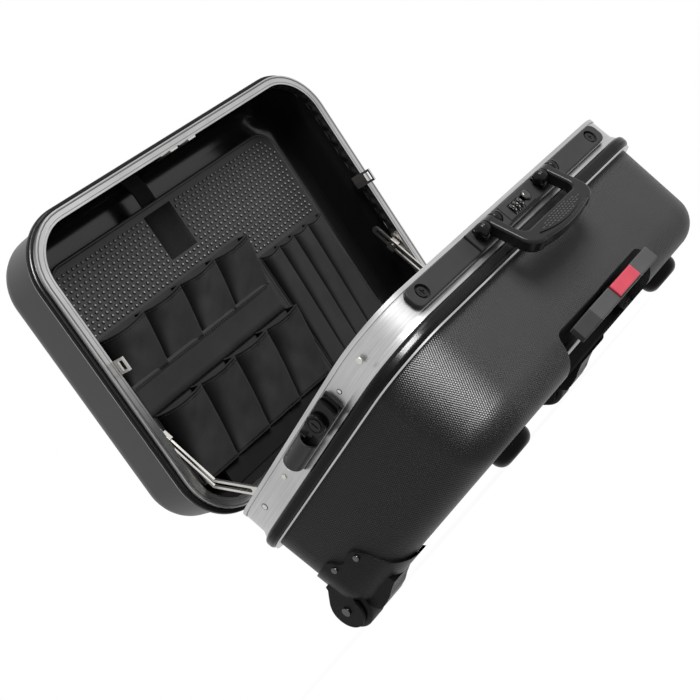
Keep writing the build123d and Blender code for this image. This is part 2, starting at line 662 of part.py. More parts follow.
# Lid hinges: leaves, knuckles and pins
with BuildPart() as hinge_base_leaves:
    rear_face = -FACE_Y
    for x in HINGE_X:
        with BuildSketch(Plane.YZ.offset(x - HINGE_HALF)):
            with BuildLine():
                Polyline((rear_face, 145), (rear_face + 2.5, 145), (rear_face + 2.5, 155),
                         (HINGE_Y + 3, HINGE_Z - 3), (HINGE_Y - 3, HINGE_Z - 1),
                         (rear_face + 1.6, 164.5), (rear_face, 164.5), close=True)
            make_face()
            with Locations((HINGE_Y, HINGE_Z)):
                Circle(KNUCKLE_R)
        extrude(amount=2 * HINGE_HALF)
        block((x - KNUCKLE_HALF - 0.3, x + KNUCKLE_HALF + 0.3), (rear_face + 2.5, HINGE_Y + 10), (150, 180),
              mode=Mode.SUBTRACT)
        bar_x((x - HINGE_HALF, x + HINGE_HALF), HINGE_Y, HINGE_Z, HINGE_PIN_R + SEAT, mode=Mode.SUBTRACT)
save(hinge_base_leaves, "hinge_base_leaves")

with BuildPart() as hinge_lid_leaves:
    lid_face = CASE_D / 2 - LID_RIM_INSET
    for x in HINGE_X:
        block((x - HINGE_HALF, x + HINGE_HALF), (lid_face, lid_face + 2), (LID_RIM + 0.4, LID_GROOVE[0]))
        with BuildSketch(Plane.YZ.offset(x - KNUCKLE_HALF)):
            with BuildLine():
                Polyline((lid_face + 1, LID_RIM + 0.4), (HINGE_Y, HINGE_Z - 0.5), (HINGE_Y, HINGE_Z + 3.5),
                         (lid_face + 1, LID_GROOVE[0]), close=True)
            make_face()
            with Locations((HINGE_Y, HINGE_Z)):
                Circle(KNUCKLE_R)
        extrude(amount=2 * KNUCKLE_HALF)
        bar_x((x - HINGE_HALF, x + HINGE_HALF), HINGE_Y, HINGE_Z, HINGE_PIN_R + RUNNING, mode=Mode.SUBTRACT)
save(hinge_lid_leaves, "hinge_lid_leaves", LID)

with BuildPart() as hinge_pins:
    for x in HINGE_X:
        bar_x((x - HINGE_HALF, x + HINGE_HALF), HINGE_Y, HINGE_Z, HINGE_PIN_R)
save(hinge_pins, "hinge_pins")


def leg(start, end, width):
    """Round-ended strip between two points of the current sketch."""
    middle = ((start[0] + end[0]) / 2, (start[1] + end[1]) / 2)
    SlotCenterPoint(middle, end, width)


def along(start, end, share):
    """Point part of the way from one point to another."""
    return tuple(a + (b - a) * share for a, b in zip(start, end))


def stay(side):
    """Dog-legged flat bar with a slot along both legs."""
    with BuildPart() as bar:
        with BuildSketch(Plane.YZ.offset(min(side * STAY_X[0], side * STAY_X[1]))):
            leg(STAY_PIVOT, STAY_BEND, STAY_W)
            leg(STAY_BEND, STAY_END, STAY_W)
            with BuildSketch(mode=Mode.SUBTRACT):
                leg(along(STAY_PIVOT, STAY_BEND, 0.4), STAY_BEND, STAY_SLOT)
                leg(STAY_BEND, along(STAY_BEND, STAY_END, 0.98), STAY_SLOT)
        extrude(amount=STAY_X[1] - STAY_X[0])
        bar_x((side * STAY_X[0], side * STAY_X[1]), *STAY_PIVOT, PIN_R + RUNNING, mode=Mode.SUBTRACT)
    return bar


def stay_clip(side):
    """Sheet clip closed round the upper leg of a stay, with its rivet head."""
    y, z = STAY_PIN
    with BuildPart() as clip:
        with Locations((side * sum(CLIP_X) / 2, y, z)):
            Box(CLIP_X[1] - CLIP_X[0], CLIP_W, CLIP_H)
        fillet(clip.edges().filter_by(Axis.Z), 1)
        add(stay(side).part, mode=Mode.SUBTRACT)
        bar_x((side * (CLIP_X[0] - 1.2), side * CLIP_X[0]), y, z, 3)
    return clip


for name, side in SIDES.items():
    save(stay(side), f"stay_{name}")
    save(stay_clip(side), f"stay_clip_{name}")

# Rivets that the stays turn on
with BuildPart() as stay_pivots:
    for side in SIDES.values():
        bar_x((side * CLIP_X[0], side * (SIDE_X - SKIRT_IN)), *STAY_PIVOT, PIN_R)
        bar_x((side * (STAY_X[1] + 0.2), side * (SIDE_X - SKIRT_IN)), STAY_PIVOT[0], SKIRT_Z + 3, PIN_R + 1.5)
save(stay_pivots, "stay_pivots")

# Lid frame, bumper and shell, modelled closed
with BuildPart() as lid_frame:
    extrude(outline(LID_RIM_INSET, LID_RIM), amount=LID_GROOVE[0] - LID_RIM)
    extrude(outline(GROOVE_INSET, LID_GROOVE[0]), amount=LID_GROOVE[1] - LID_GROOVE[0])
    extrude(outline(FACE_INSET, LID_BUMPER[0]), amount=LID_BUMPER[1] - LID_BUMPER[0])
    extrude(outline(LEDGE_INSET, LID_BUMPER[1]), amount=LID_LIP - LID_BUMPER[1])
    inner_z = LID_RIM + PROFILE_T
    extrude(outline(PROFILE_IN, inner_z), amount=LID_LIP - inner_z, mode=Mode.SUBTRACT)
    extrude(outline(SKIRT_OUT, LID_RIM), amount=LID_SKIRT - LID_RIM)
    extrude(outline(SKIRT_IN, LID_RIM), amount=LID_SKIRT - LID_RIM, mode=Mode.SUBTRACT)
save(lid_frame, "lid_frame", LID)
save(bumper(LID_BUMPER, LID_BUMPER_OUT, 3), "lid_bumper", LID)

with BuildPart() as lid_hollow:
    add(tub(SHELL_INSET + WALL, LID_LIP, LID_TOP - WALL, LID_EDGE_R - WALL))
    extrude(outline(COLLAR_INSET + WALL, LID_RIM), amount=LID_LIP - LID_RIM + 6)

with BuildPart() as lid_shell:
    add(tub(SHELL_INSET, LID_LIP, LID_TOP, LID_EDGE_R))
    extrude(outline(COLLAR_INSET, LID_RIM + PROFILE_T + 0.2), amount=LID_LIP - LID_RIM - PROFILE_T + 6)
    add(lid_hollow.part, mode=Mode.SUBTRACT)
save(lid_shell, "lid_shell", LID)

# Strikers that the latches and the lock catch
with BuildPart() as strikers:
    mid = sum(BOLT_Y) / 2
    side_span = (mid - STRIKER_W / 2, mid + STRIKER_W / 2)
    foot_z = (BRACKET_Z, LID_SKIRT - 1)
    for side in SIDES.values():
        x = (side * STRIKER_X[0], side * STRIKER_X[1])
        block(x, side_span, (153.5, STRIKER_TOP))
        block(x, eased(BOLT_Y, 1.2), (156, 165), mode=Mode.SUBTRACT)
        block((side * STRIKER_X[1], side * (SIDE_X - SKIRT_IN)), side_span, foot_z)
    for x in HOOK_X:
        block((x - 6, x + 6), (FRONT_Y + 15.3, FRONT_Y + 17.3), (SKIRT_Z - 1, STRIKER_TOP - 2))
        block((x, x + 6), (FRONT_Y + 15, FRONT_Y + 18), eased(HOOK_Z, 0.5), mode=Mode.SUBTRACT)
        block((x - 6, x + 6), (FRONT_Y + SKIRT_IN, FRONT_Y + 15.3), foot_z)
save(strikers, "strikers", LID)

# Brackets on the lid with the stubs that stand beside the stays
pin_reach = hypot(STAY_PIN[0] - HINGE_Y, STAY_PIN[1] - HINGE_Z)
pin_turn = atan2(STAY_PIN[1] - HINGE_Z, STAY_PIN[0] - HINGE_Y) + radians(LID_ANGLE)
pin_y = HINGE_Y + pin_reach * cos(pin_turn)
pin_z = HINGE_Z + pin_reach * sin(pin_turn)
with BuildPart() as stay_brackets:
    for side in SIDES.values():
        stub, near, far = (side * x for x in BRACKET_X)
        block((near, side * (SIDE_X - SKIRT_IN)), (pin_y - 12, pin_y + 12), (BRACKET_Z, LID_SKIRT - 0.2))
        block((near, far), (pin_y - 7, pin_y + 7), (LID_SKIRT - 1, pin_z + 6))
        bar_x((stub, far), pin_y, pin_z, 3)
save(stay_brackets, "stay_brackets", LID)

# Tool board with its hinge strip, pockets, patch and strap, modelled with the lid closed
with BuildPart() as tool_board:
    with BuildSketch(Plane.XY.offset(BOARD_Z)):
        with Locations((0, sum(BOARD_Y) / 2)):
            RectangleRounded(2 * BOARD_HALF, BOARD_Y[1] - BOARD_Y[0], BOARD_R)
    extrude(amount=BOARD_T)
    bar_x((-ROLL_HALF, ROLL_HALF), ROLL_Y, ROLL_Z, ROLL_R)
save(tool_board, "tool_board", LID)

with BuildPart() as board_hinge:
    block((-ROLL_HALF, ROLL_HALF), HINGE_STRIP_Y, (BOARD_Z - 1, BOARD_Z + BOARD_T + 1))
    bar_x((-ROLL_HALF - 1, ROLL_HALF + 1), ROLL_Y, ROLL_Z, ROLL_R + ROLL_PLAY, mode=Mode.SUBTRACT)
save(board_hinge, "board_hinge", LID)


def pocket_row(x, y, count, depth):
    """Row of pockets that stand open at the mouth and lie nearly flat at the seam below."""
    width = (x[1] - x[0]) / count
    with BuildPart() as row:
        for index in range(count):
            left = x[0] + index * width
            for level, full in zip(y, (depth, SEAM_SHARE * depth)):
                with BuildSketch(Plane.XZ.offset(-level)):
                    with BuildLine():
                        Polyline((left + SEAM_GAP, BOARD_Z),
                                 (left + width - SEAM_GAP, BOARD_Z),
                                 (left + RIDGE * width, BOARD_Z - full),
                                 (left + SHOULDER[0] * width, BOARD_Z - SHOULDER[1] * full),
                                 close=True)
                    make_face()
            loft()
    return row


save(pocket_row(*UPPER_ROW), "upper_pockets", LID)
save(pocket_row(*LOWER_ROW), "lower_pockets", LID)
save(pocket_row(*SIDE_ROW), "side_pockets", LID)

with BuildPart() as hook_patch:
    block(PATCH_X, PATCH_Y, (BOARD_Z - PATCH_T, BOARD_Z))
save(hook_patch, "hook_patch", LID)

with BuildPart() as board_strap:
    block(STRAP_X, STRAP_Y, STRAP_Z)
save(board_strap, "board_strap", LID)
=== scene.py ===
"""Looks of a rolling tool case with an aluminium frame, standing open."""

import json
import math
from bisect import bisect_left

import bmesh
import bpy
from bpy.props import FloatProperty, FloatVectorProperty, PointerProperty
from mathutils import Matrix, Vector, noise


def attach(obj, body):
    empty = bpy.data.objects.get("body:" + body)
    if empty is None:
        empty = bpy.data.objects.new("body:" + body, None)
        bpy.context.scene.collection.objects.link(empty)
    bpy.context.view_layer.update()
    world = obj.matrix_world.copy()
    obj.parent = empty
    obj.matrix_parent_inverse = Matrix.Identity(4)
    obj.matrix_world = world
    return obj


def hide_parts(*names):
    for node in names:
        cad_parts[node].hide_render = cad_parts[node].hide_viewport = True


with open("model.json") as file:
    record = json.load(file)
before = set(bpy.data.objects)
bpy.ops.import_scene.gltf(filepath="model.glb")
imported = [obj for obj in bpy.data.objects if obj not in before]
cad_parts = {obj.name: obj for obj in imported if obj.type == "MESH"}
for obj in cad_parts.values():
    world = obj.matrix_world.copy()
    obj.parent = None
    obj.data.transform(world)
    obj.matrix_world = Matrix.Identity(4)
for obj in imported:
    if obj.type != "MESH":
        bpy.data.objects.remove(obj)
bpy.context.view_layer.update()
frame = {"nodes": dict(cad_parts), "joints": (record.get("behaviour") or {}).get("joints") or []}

bl_info = {
    "name": "Rolling tool case",
    "version": (1, 0, 0),
    "blender": (4, 5, 0),
    "location": "3D View > Sidebar > Tool case",
    "description": "Dresses the framed rolling tool case with its finishes, pockets and small fittings",
    "category": "Object",
}

MM = 0.001

# Places below are in millimetres from the middle of the case, as in its drawings,
# with the lid's pieces placed as if the lid were closed.
HINGE = Vector(next(j["pos_m"] for j in frame["joints"] if j["name"] == "lid_hinge"))
HINGE_Y = 191.3
LID_ANGLE = math.radians(67.09)
CASE_Y = HINGE.y / MM - HINGE_Y
BASE = Matrix.Translation((0, CASE_Y * MM, 0)) @ Matrix.Scale(MM, 4)
SWING = Matrix.Translation(HINGE) @ Matrix.Rotation(-LID_ANGLE, 4, "X") @ Matrix.Translation(-HINGE)
LID = SWING @ BASE
SIDES = {"left": -1, "right": 1}

# Outline of the case, with the dark strips round the lid frame's rim, painted shade in its grooves, as
# inset and half width
CASE_HALF = (245, 186.5)
CASE_R = 66
CORNER_STEPS = 9
RIB_PITCH = 3.0
TREAD_PITCH = 2.4
RIM_Z = 170.6
RIM_GROOVE_SHADES = ((5.7, 0.9), (11.8, 0.35))
GROOVE_SHADE_RISE = 0.2
LID_MIDDLE_Z = RIM_Z + 35

# Edge of the lining inside the lid's frame, from a turn in its front corner back to the stay
LINING_INSET = 14.9
LINING_Z = (RIM_Z + 1.2, RIM_Z + 11.6)
LINING_TURN = -70
LINING_END = 62
LINING_STEP = 2
LINING_DOWN = 8

# Tool board, its studs and its welt; rows of studs lie a share of their pitch apart
BOARD_Z = RIM_Z + 64
BOARD_HALF = 197
BOARD_Y = (-135, 150)
BOARD_R = 24
STUD_MARGIN = 7
STUD_END_MARGIN = 11
STUD_ROW = 0.866
# Depths below the board over which the studs' painted highlight rises towards their tips
STUD_PAINTED_HIGHLIGHT = (1.15, 1.7)
WELT_RISE = 1.2

# Pocket rows: name, span along X, span along Y, pockets in the row
UPPER = ("upper", (-190, 58), (-45, 18), 4)
LOWER = ("lower", (-184, 58), (56, 148), 4)
SIDE = ("side", (70, 188), (-11, 148), 4)
POCKET_GAP = 1.4
MOUTH_SAG = 4.0
CLOTH_T = 0.9
POCKET_CELLS = (30, 26)

# Bindings as radius and flatness, then how far stitches lie in from mouth and foot
MOUTH_BINDING = (1.5, 0.9)
FOOT_BINDING = (1.4, 0.6)
SEAM_BINDING = (1.3, 0.8)
STITCH_INSET = (3.2, -3.5)
STITCH_LIFT = 0.5

# Cloth that lies on the board: panels and patch as spans along X and Y, band as places
# along Y and lifts; flat sizes are in metres
PANELS = (((-192, 65), (-47, 149)), ((65.6, 190), (-13, 149)))
PANEL_R = 5
PANEL_LIFTS = (0.1, 0.9)
PATCH = ((-41, 4), (-127, -70))
PATCH_CELLS = (15, 19)
BAND = ((14, 4.6), (14.6, 6.2), (20, 5.6), (28, 4.4), (37, 3.4), (46, 2.8), (54.4, 2.6), (55, 1.0))
BAND_X = range(-190, 59, 4)
BAND_SEAMS = ((17.5, 6.6), (19.8, 6.3), (52.5, 3.5))
SEAM_X = range(-188, 57, 6)
BAND_T = 1.0

# Strap behind the board: places across it, then places along Y and lifts
STRAP_X = (-30, -28, -24, -18, -12, -8, -6)
STRAP = ((-173, 12), (-168, 10), (-160, 6.5), (-150, 5.2), (-140, 5.6), (-130, 4.6), (-122, 4.4))
STRAP_STEPS = 5
STRAP_T = 1.6

# Carry handle: its pivot, how far it hangs out, the pad's bumps and the lugs' cheeks
PIVOT = (-199, 156)
HANG = math.radians(15.8)
PAD_HALF = 43
PAD_RISE = 8
PAD_ROW = -44.5
PAD_FACE = 8.15
BUMP_PITCH = 5.0
BUMP_HALF = (1.7, 1.0)
BUMP_EDGE = 1.5
BUMP_PROFILE = ((1.0, 0), (0.8, 0.65), (0.45, 1.0), (0.1, 1.1))
LUG_CHEEKS = ((-71, -1), (-43, 1), (43, -1), (71, 1))
CHEEK_R = 7.4
CHEEK_RISE = 4.6

# Dial lock
DIAL_X = (-9, -2, 5)
DIAL_Y = -188.8
DIAL_Z = 152.5
DIAL_R = 6.2
DIAL_BORE = 1.25
DIAL_HALF = 2.5
DIAL_STEPS = 40
NOTCH = 0.35
DIGIT_SIZE = 2.5
DIGIT_T = 0.1
DIGIT_RISE = 0.12
DIGIT_TURN = 8

# Fittings on the sides: rivets as place along Y and radius, rings as radius and half thickness
LATCH_Z = 154
FRAME_FACE = 240.8
FRAME_RIVETS = ((-99, 2.4), (107, 3.4))
RIVET_RISE = 1.3
# Radius of the dark tubes painted as shade round the rivets
SHADE_RING_R = 0.55
KEY_Y = -54
KEY_FACE = 250.6
KEY_RINGS = ((9.0, 0.9), (7.4, 0.7))

# Camera, lamps as place and size, and floor, in metres
CAMERA_FORWARD = (0.66481, 0.73760, 0.11818)
CAMERA_UP = (0.51160, -0.56485, 0.64746)
CAMERA_PLACE = (-1.0093, (-992.3 + CASE_Y) * MM, 0.0124)
CAMERA_SHIFT = (-0.0155, 0.0274)
CAMERA_CLIP = (0.05, 60)
SENSOR_MM = 36
LAMP_AIM = (0, 0, 0.2)
KEY_LAMP = ((0.05, -1.9, 1.3), (1.2, 1.0))
CORNER_LAMP = ((-1.02, -2.06, 0.60), (1.3, 0.75))
CORNER_LIT = ("base_shell", "base_bumper", "lid_bumper", "wheel_bracket_left", "wheel_bracket_right")
FLOOR_HALF = 12.0
FLOOR_GREY = (0.3, 0.3, 0.3, 1)
FLOOR_FADE = (0.6, 1.8)
FLOOR_LEVEL = (0.978, 1.0)
FLOOR_GLOW = 1.41
FLOOR_SHARE = 0.70


class Wire:
    """A value in a node tree, so that shader maths reads as Python."""

    def __init__(self, nodes, socket):
        self.nodes = nodes
        self.socket = socket

    def math(self, operation, *others):
        values = dict(enumerate((self, *others)))
        return self.nodes.node("ShaderNodeMath", {"operation": operation}, values)

    def __add__(self, other):
        return self.math("ADD", other)

    def __sub__(self, other):
        return self.math("SUBTRACT", other)

    def __rsub__(self, other):
        return self.nodes.node("ShaderNodeMath", {"operation": "SUBTRACT"}, {0: other, 1: self})

    def __mul__(self, other):
        return self.math("MULTIPLY", other)

    __radd__ = __add__
    __rmul__ = __mul__


class Nodes:
    """A node tree under construction."""

    def __init__(self, owner):
        owner.use_nodes = True
        self.tree = owner.node_tree

    def feed(self, node, values):
        for key, value in values.items():
            if isinstance(value, Wire):
                self.tree.links.new(value.socket, node.inputs[key])
            else:
                node.inputs[key].default_value = value

    def node(self, kind, settings=None, values=None, output=0):
        made = self.tree.nodes.new(kind)
        for key, value in (settings or {}).items():
            setattr(made, key, value)
        self.feed(made, values or {})
        return Wire(self, made.outputs[output])

    def backdrop_seen(self):
        """1 where the room is seen, mirrored or seen through something, and 0 where it only lights."""
        rays = self.node("ShaderNodeLightPath").socket.node.outputs
        kinds = ("Camera", "Glossy", "Transmission")
        seen, mirrored, through = (Wire(self, rays[f"Is {kind} Ray"]) for kind in kinds)
        return seen.math("MAXIMUM", mirrored).math("MAXIMUM", through)


class Finish(Nodes):
    """A material under construction, with the nodes that this case's finishes need."""

    def __init__(self, name, specular=0.5, metallic=0.0, sheen=(0.0, 0.5)):
        self.material = bpy.data.materials.new(f"case_{name}")
        super().__init__(self.material)
        self.shader = self.tree.nodes["Principled BSDF"]
        self.feed(self.shader, {"Specular IOR Level": specular, "Metallic": metallic,
                                "Sheen Weight": sheen[0], "Sheen Roughness": sheen[1]})

    def place(self, closed=False):
        """Where a point is on the case, with the lid's points as if it were closed."""
        spot = self.node("ShaderNodeTexCoord", output="Object")
        if not closed:
            return spot
        values = {"Vector": spot, "Center": HINGE, "Angle": LID_ANGLE}
        return self.node("ShaderNodeVectorRotate", {"rotation_type": "X_AXIS"}, values)

    def axes(self, place):
        split = self.node("ShaderNodeSeparateXYZ", values={"Vector": place}).socket.node
        return [Wire(self, socket) for socket in split.outputs]

    def noise(self, scale, detail=2.0, place=None):
        values = {"Vector": place or self.place(), "Scale": scale, "Detail": detail}
        return self.node("ShaderNodeTexNoise", values=values)

    def streaks(self, detail, x, y, z):
        """Noise drawn out along the axes that are scaled least."""
        spot = self.node("ShaderNodeCombineXYZ", values={"X": x, "Y": y, "Z": z})
        return self.noise(1.0, detail, spot)

    def mix(self, share, first, second):
        values = {0: share, 6: (*first, 1), 7: (*second, 1)}
        return self.node("ShaderNodeMix", {"data_type": "RGBA"}, values, output=2)

    def tones(self, share, color, low, high):
        """From one shade of a colour to another."""
        return self.mix(share, shade(color, low), shade(color, high))

    def between(self, value, low, high):
        values = {"Value": value, "From Min": low, "From Max": high}
        return self.node("ShaderNodeMapRange", {"clamp": True}, values)

    def bump(self, height, depth):
        """Raise the surface by a height from 0 to 1 times a depth in millimetres."""
        values = {"Height": height, "Distance": depth * MM, "Strength": 1}
        self.feed(self.shader, {"Normal": self.node("ShaderNodeBump", values=values)})

    def surface(self, color, roughness):
        self.feed(self.shader, {"Base Color": color, "Roughness": roughness})
        return self.material


def shade(color, factor):
    return tuple(min(1.0, value * factor) for value in color)


def waves(pitch):
    """Radians in a metre of a pattern that repeats every so many millimetres."""
    return 2 * math.pi / (pitch * MM)


def round_the_case(finish, closed=False):
    """Distance along the case's outline and height, in metres, for patterns that turn its corners."""
    x, y, z = finish.axes(finish.place(closed))
    return x.math("ABSOLUTE") - (y - CASE_Y * MM).math("ABSOLUTE"), z


def ribbed_shell(colors):
    """Dark shell plastic with fine staggered ribs."""
    finish = Finish("ribbed_shell", specular=0.08)
    along, height = round_the_case(finish)
    turn = waves(RIB_PITCH)
    ribs = (along * turn).math("COSINE") * (height * (turn * 0.72)).math("COSINE")
    grain = finish.noise(900)
    wear = finish.noise(7, 4)
    finish.bump(ribs * 0.5 + grain * 0.1, 0.28)
    color = finish.tones(wear * 0.6 + ribs * 0.35 + 0.2, colors.shell, 0.6, 1.4)
    return finish.surface(color, 0.33 + grain * 0.08)


def lid_shell(colors):
    """Satin outside and glossy black inside, told apart by which way the wall faces."""
    finish = Finish("lid_shell", specular=0.45)
    spot = finish.place()
    middle = LID @ Vector((0, 0, LID_MIDDLE_Z))
    out = finish.node("ShaderNodeVectorMath", {"operation": "SUBTRACT"}, {0: spot, 1: middle})
    facing = finish.node("ShaderNodeTexCoord", output="Normal")
    away = finish.node("ShaderNodeVectorMath", {"operation": "DOT_PRODUCT"}, {0: out, 1: facing},
                       output="Value")
    outside = away.math("GREATER_THAN", 0)
    grain = finish.noise(1400, place=spot)
    finish.bump(grain * outside, 0.05)
    color = finish.mix(outside, colors.lining, colors.lid)
    return finish.surface(color, 0.16 + outside * 0.24 + grain * 0.06)


def brushed(name, color, closed, roughness, streak):
    """Aluminium brushed along the frame."""
    finish = Finish(name, metallic=1.0)
    along, height = round_the_case(finish, closed)
    x, y, _ = finish.axes(finish.place(closed))
    lines = finish.streaks(3, along * 14, (x + y) * 3, height * 1500)
    patches = finish.noise(13, 3)
    finish.bump(lines, 0.02 * streak)
    tint = finish.tones(lines * 0.6 + patches * 0.4, color, 0.45, 1.45)
    return finish.surface(tint, roughness + lines * 0.12 + patches * 0.06)


def grained(name, color, roughness, grain_size, depth, level):
    """Moulded plastic or rubber with a fine grain and slightly uneven sheen."""
    finish = Finish(name, specular=level)
    grain = finish.noise(grain_size, 3)
    clouds = finish.noise(30, 3)
    finish.bump(grain, depth)
    tint = finish.tones(clouds, color, 0.75, 1.25)
    return finish.surface(tint, roughness + grain * 0.08 + clouds * 0.06)


def guard_hide(colors):
    """Wheel guards moulded with a leathery skin."""
    finish = Finish("guard_hide", specular=0.06)
    values = {"Vector": finish.place(), "Scale": 420}
    cells = finish.node("ShaderNodeTexVoronoi", {"feature": "DISTANCE_TO_EDGE"}, values)
    clouds = finish.noise(40, 3)
    finish.bump(finish.between(cells, 0.0, 0.25), 0.10)
    tint = finish.tones(clouds, colors.moulding, 0.6, 1.1)
    return finish.surface(tint, 0.26 + clouds * 0.14)


def metal(name, color, roughness):
    """Plated steel with faint scratches."""
    finish = Finish(name, metallic=1.0)
    x, y, z = finish.axes(finish.place())
    scratches = finish.streaks(2, x * 900, y * 900, z * 40)
    clouds = finish.noise(60, 3)
    finish.bump(scratches, 0.008)
    tint = finish.tones(clouds * 0.6 + scratches * 0.4, color, 0.6, 1.1)
    return finish.surface(tint, roughness + clouds * 0.14)


def tyre_rubber(colors):
    """Wheel tread with fine grooves round it."""
    finish = Finish("tyre_rubber", specular=0.15)
    x, _, _ = finish.axes(finish.place())
    grooves = (x * waves(TREAD_PITCH)).math("COSINE")
    grain = finish.noise(500, 3)
    finish.bump(finish.between(grooves, 0.6, 0.9) * 0.6 + grain * 0.3, 0.25)
    tint = finish.tones(grain, colors.rubber, 0.8, 1.3)
    return finish.surface(tint, 0.42 + grain * 0.12)


def stud_plastic(colors):
    """Studs darker on their flanks as painted shade and paler at their tips as a painted highlight, and
    smoother at their tips.
    """
    finish = Finish("stud_plastic", specular=0.5)
    _, _, height = finish.axes(finish.place(closed=True))
    # Painted highlight rising from the flanks to the tips, over these depths below the board
    tip = finish.between(BOARD_Z * MM - height, STUD_PAINTED_HIGHLIGHT[0] * MM, STUD_PAINTED_HIGHLIGHT[1] * MM)
    grain = finish.noise(700, 2)
    finish.bump(grain, 0.01)
    # From painted shade on the flanks to a painted highlight at the tips
    tint = finish.tones(tip, colors.board, 0.12, 7.5)
    return finish.surface(tint, 0.3 - tip * 0.14 + grain * 0.04)


def woven(name, color, pitch):
    """Plain-woven cloth, its threads square to the lid, with painted shade that darkens it deep in its
    folds.
    """
    finish = Finish(name, specular=0.04, sheen=(0.03, 0.5))
    x, y, _ = finish.axes(finish.place(closed=True))
    turn = waves(pitch)
    threads = ((x * turn).math("SINE") * (y * turn).math("SINE")) * 0.5 + 0.5
    fuzz = finish.noise(1600, 2)
    clouds = finish.noise(22, 3)
    finish.bump(threads * 0.7 + fuzz * 0.3, 0.26)
    # Share of painted shade deep in the pockets' folds, from 0 to 1, read from the cloth's points
    fold = finish.node("ShaderNodeAttribute", {"attribute_name": "fold"}, output="Fac")
    share = (threads * 0.3 + clouds * 0.4 + 0.3) * (1 - fold)
    # Down to a twenty-fifth of the colour where the painted fold shade is full
    tint = finish.tones(share, color, 0.04, 1.7)
    return finish.surface(tint, 0.55 + fuzz * 0.2)


def loop_pile(colors):
    """Hook-and-loop patch with a dense dull pile."""
    finish = Finish("loop_pile", specular=0.05, sheen=(0.08, 0.6))
    pile = finish.node("ShaderNodeTexVoronoi", values={"Vector": finish.place(), "Scale": 900})
    clouds = finish.noise(90, 3)
    finish.bump(pile, 0.5)
    tint = finish.mix(pile * 0.6 + clouds * 0.4, (0.002, 0.002, 0.002), shade(colors.cloth, 0.5))
    return finish.surface(tint, 0.85 + clouds * 0.1)


def white_paint(colors):
    return grained("white_paint", (0.55, 0.55, 0.54), 0.4, 900, 0.02, 0.07)


FINISHES = {maker.__name__: maker for maker in (
    ribbed_shell, lid_shell, guard_hide, tyre_rubber, stud_plastic, loop_pile, white_paint)}

# Finishes of one colour: maker, colour setting and its shade, then the maker's own values.
# Brushed: whether on the lid, roughness, streaks. Grained: roughness, size and depth of the
# grain, specular level. Metal: roughness. Woven: pitch of the threads.
SHADES = {
    "frame_aluminium": (brushed, "aluminium", 1, False, 0.24, 1.0),
    "lid_aluminium": (brushed, "aluminium", 1, True, 0.24, 1.0),
    "tube_aluminium": (brushed, "aluminium", 0.9, False, 0.3, 0.5),
    "bumper_rubber": (grained, "rubber", 1, 0.2, 900, 0.05, 0.07),
    "moulded_black": (grained, "moulding", 1, 0.26, 700, 0.08, 0.07),
    "plate_black": (grained, "moulding", 2.3, 0.30, 1100, 0.06, 0.07),
    "handle_black": (grained, "moulding", 0.7, 0.15, 500, 0.03, 0.16),
    "latch_grey": (grained, "moulding", 3.4, 0.28, 1100, 0.04, 0.2),
    "glossy_black": (grained, "moulding", 0.5, 0.10, 300, 0.02, 0.14),
    "black_steel": (grained, "moulding", 0.7, 0.16, 500, 0.02, 0.18),
    "red_button": (grained, "button", 1, 0.30, 800, 0.04, 0.3),
    "board_plastic": (grained, "board", 1, 0.30, 600, 0.07, 0.3),
    "grip_plastic": (grained, "shell", 1.7, 0.42, 900, 0.05, 0.15),
    "nickel": (metal, "steel", 1, 0.22),
    "chrome": (metal, "steel", 1.1, 0.08),
    "gunmetal": (metal, "steel", 0.16, 0.16),
    # Dark grey of the strips painted as shade in the lid frame rim's grooves
    "seam_grey": (metal, "steel", 0.26, 0.3),
    "pocket_cloth": (woven, "cloth", 1, 1.7),
    "webbing": (woven, "cloth", 0.6, 1.8),
}


def finish_named(name):
    """The finish of this name, made when it is first asked for."""
    made = bpy.data.materials.get(f"case_{name}")
    if made:
        return made
    colors = bpy.context.scene.case_colors
    if name in FINISHES:
        return FINISHES[name](colors)
    maker, setting, factor, *rest = SHADES[name]
    return maker(name, shade(getattr(colors, setting), factor), *rest)


def dress(finish, *nodes):
    """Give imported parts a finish."""
    for node in nodes:
        part = frame["nodes"][node]
        if not part.material_slots:
            part.data.materials.append(None)
        for slot in part.material_slots:
            slot.material = finish_named(finish)


def new_object(name, data):
    """An object with this data, in the scene."""
    made = bpy.data.objects.new(name, data)
    bpy.context.scene.collection.objects.link(made)
    return made


def turns(count):
    """Angles of this many equal steps round a circle."""
    return [2 * math.pi * part / count for part in range(count)]


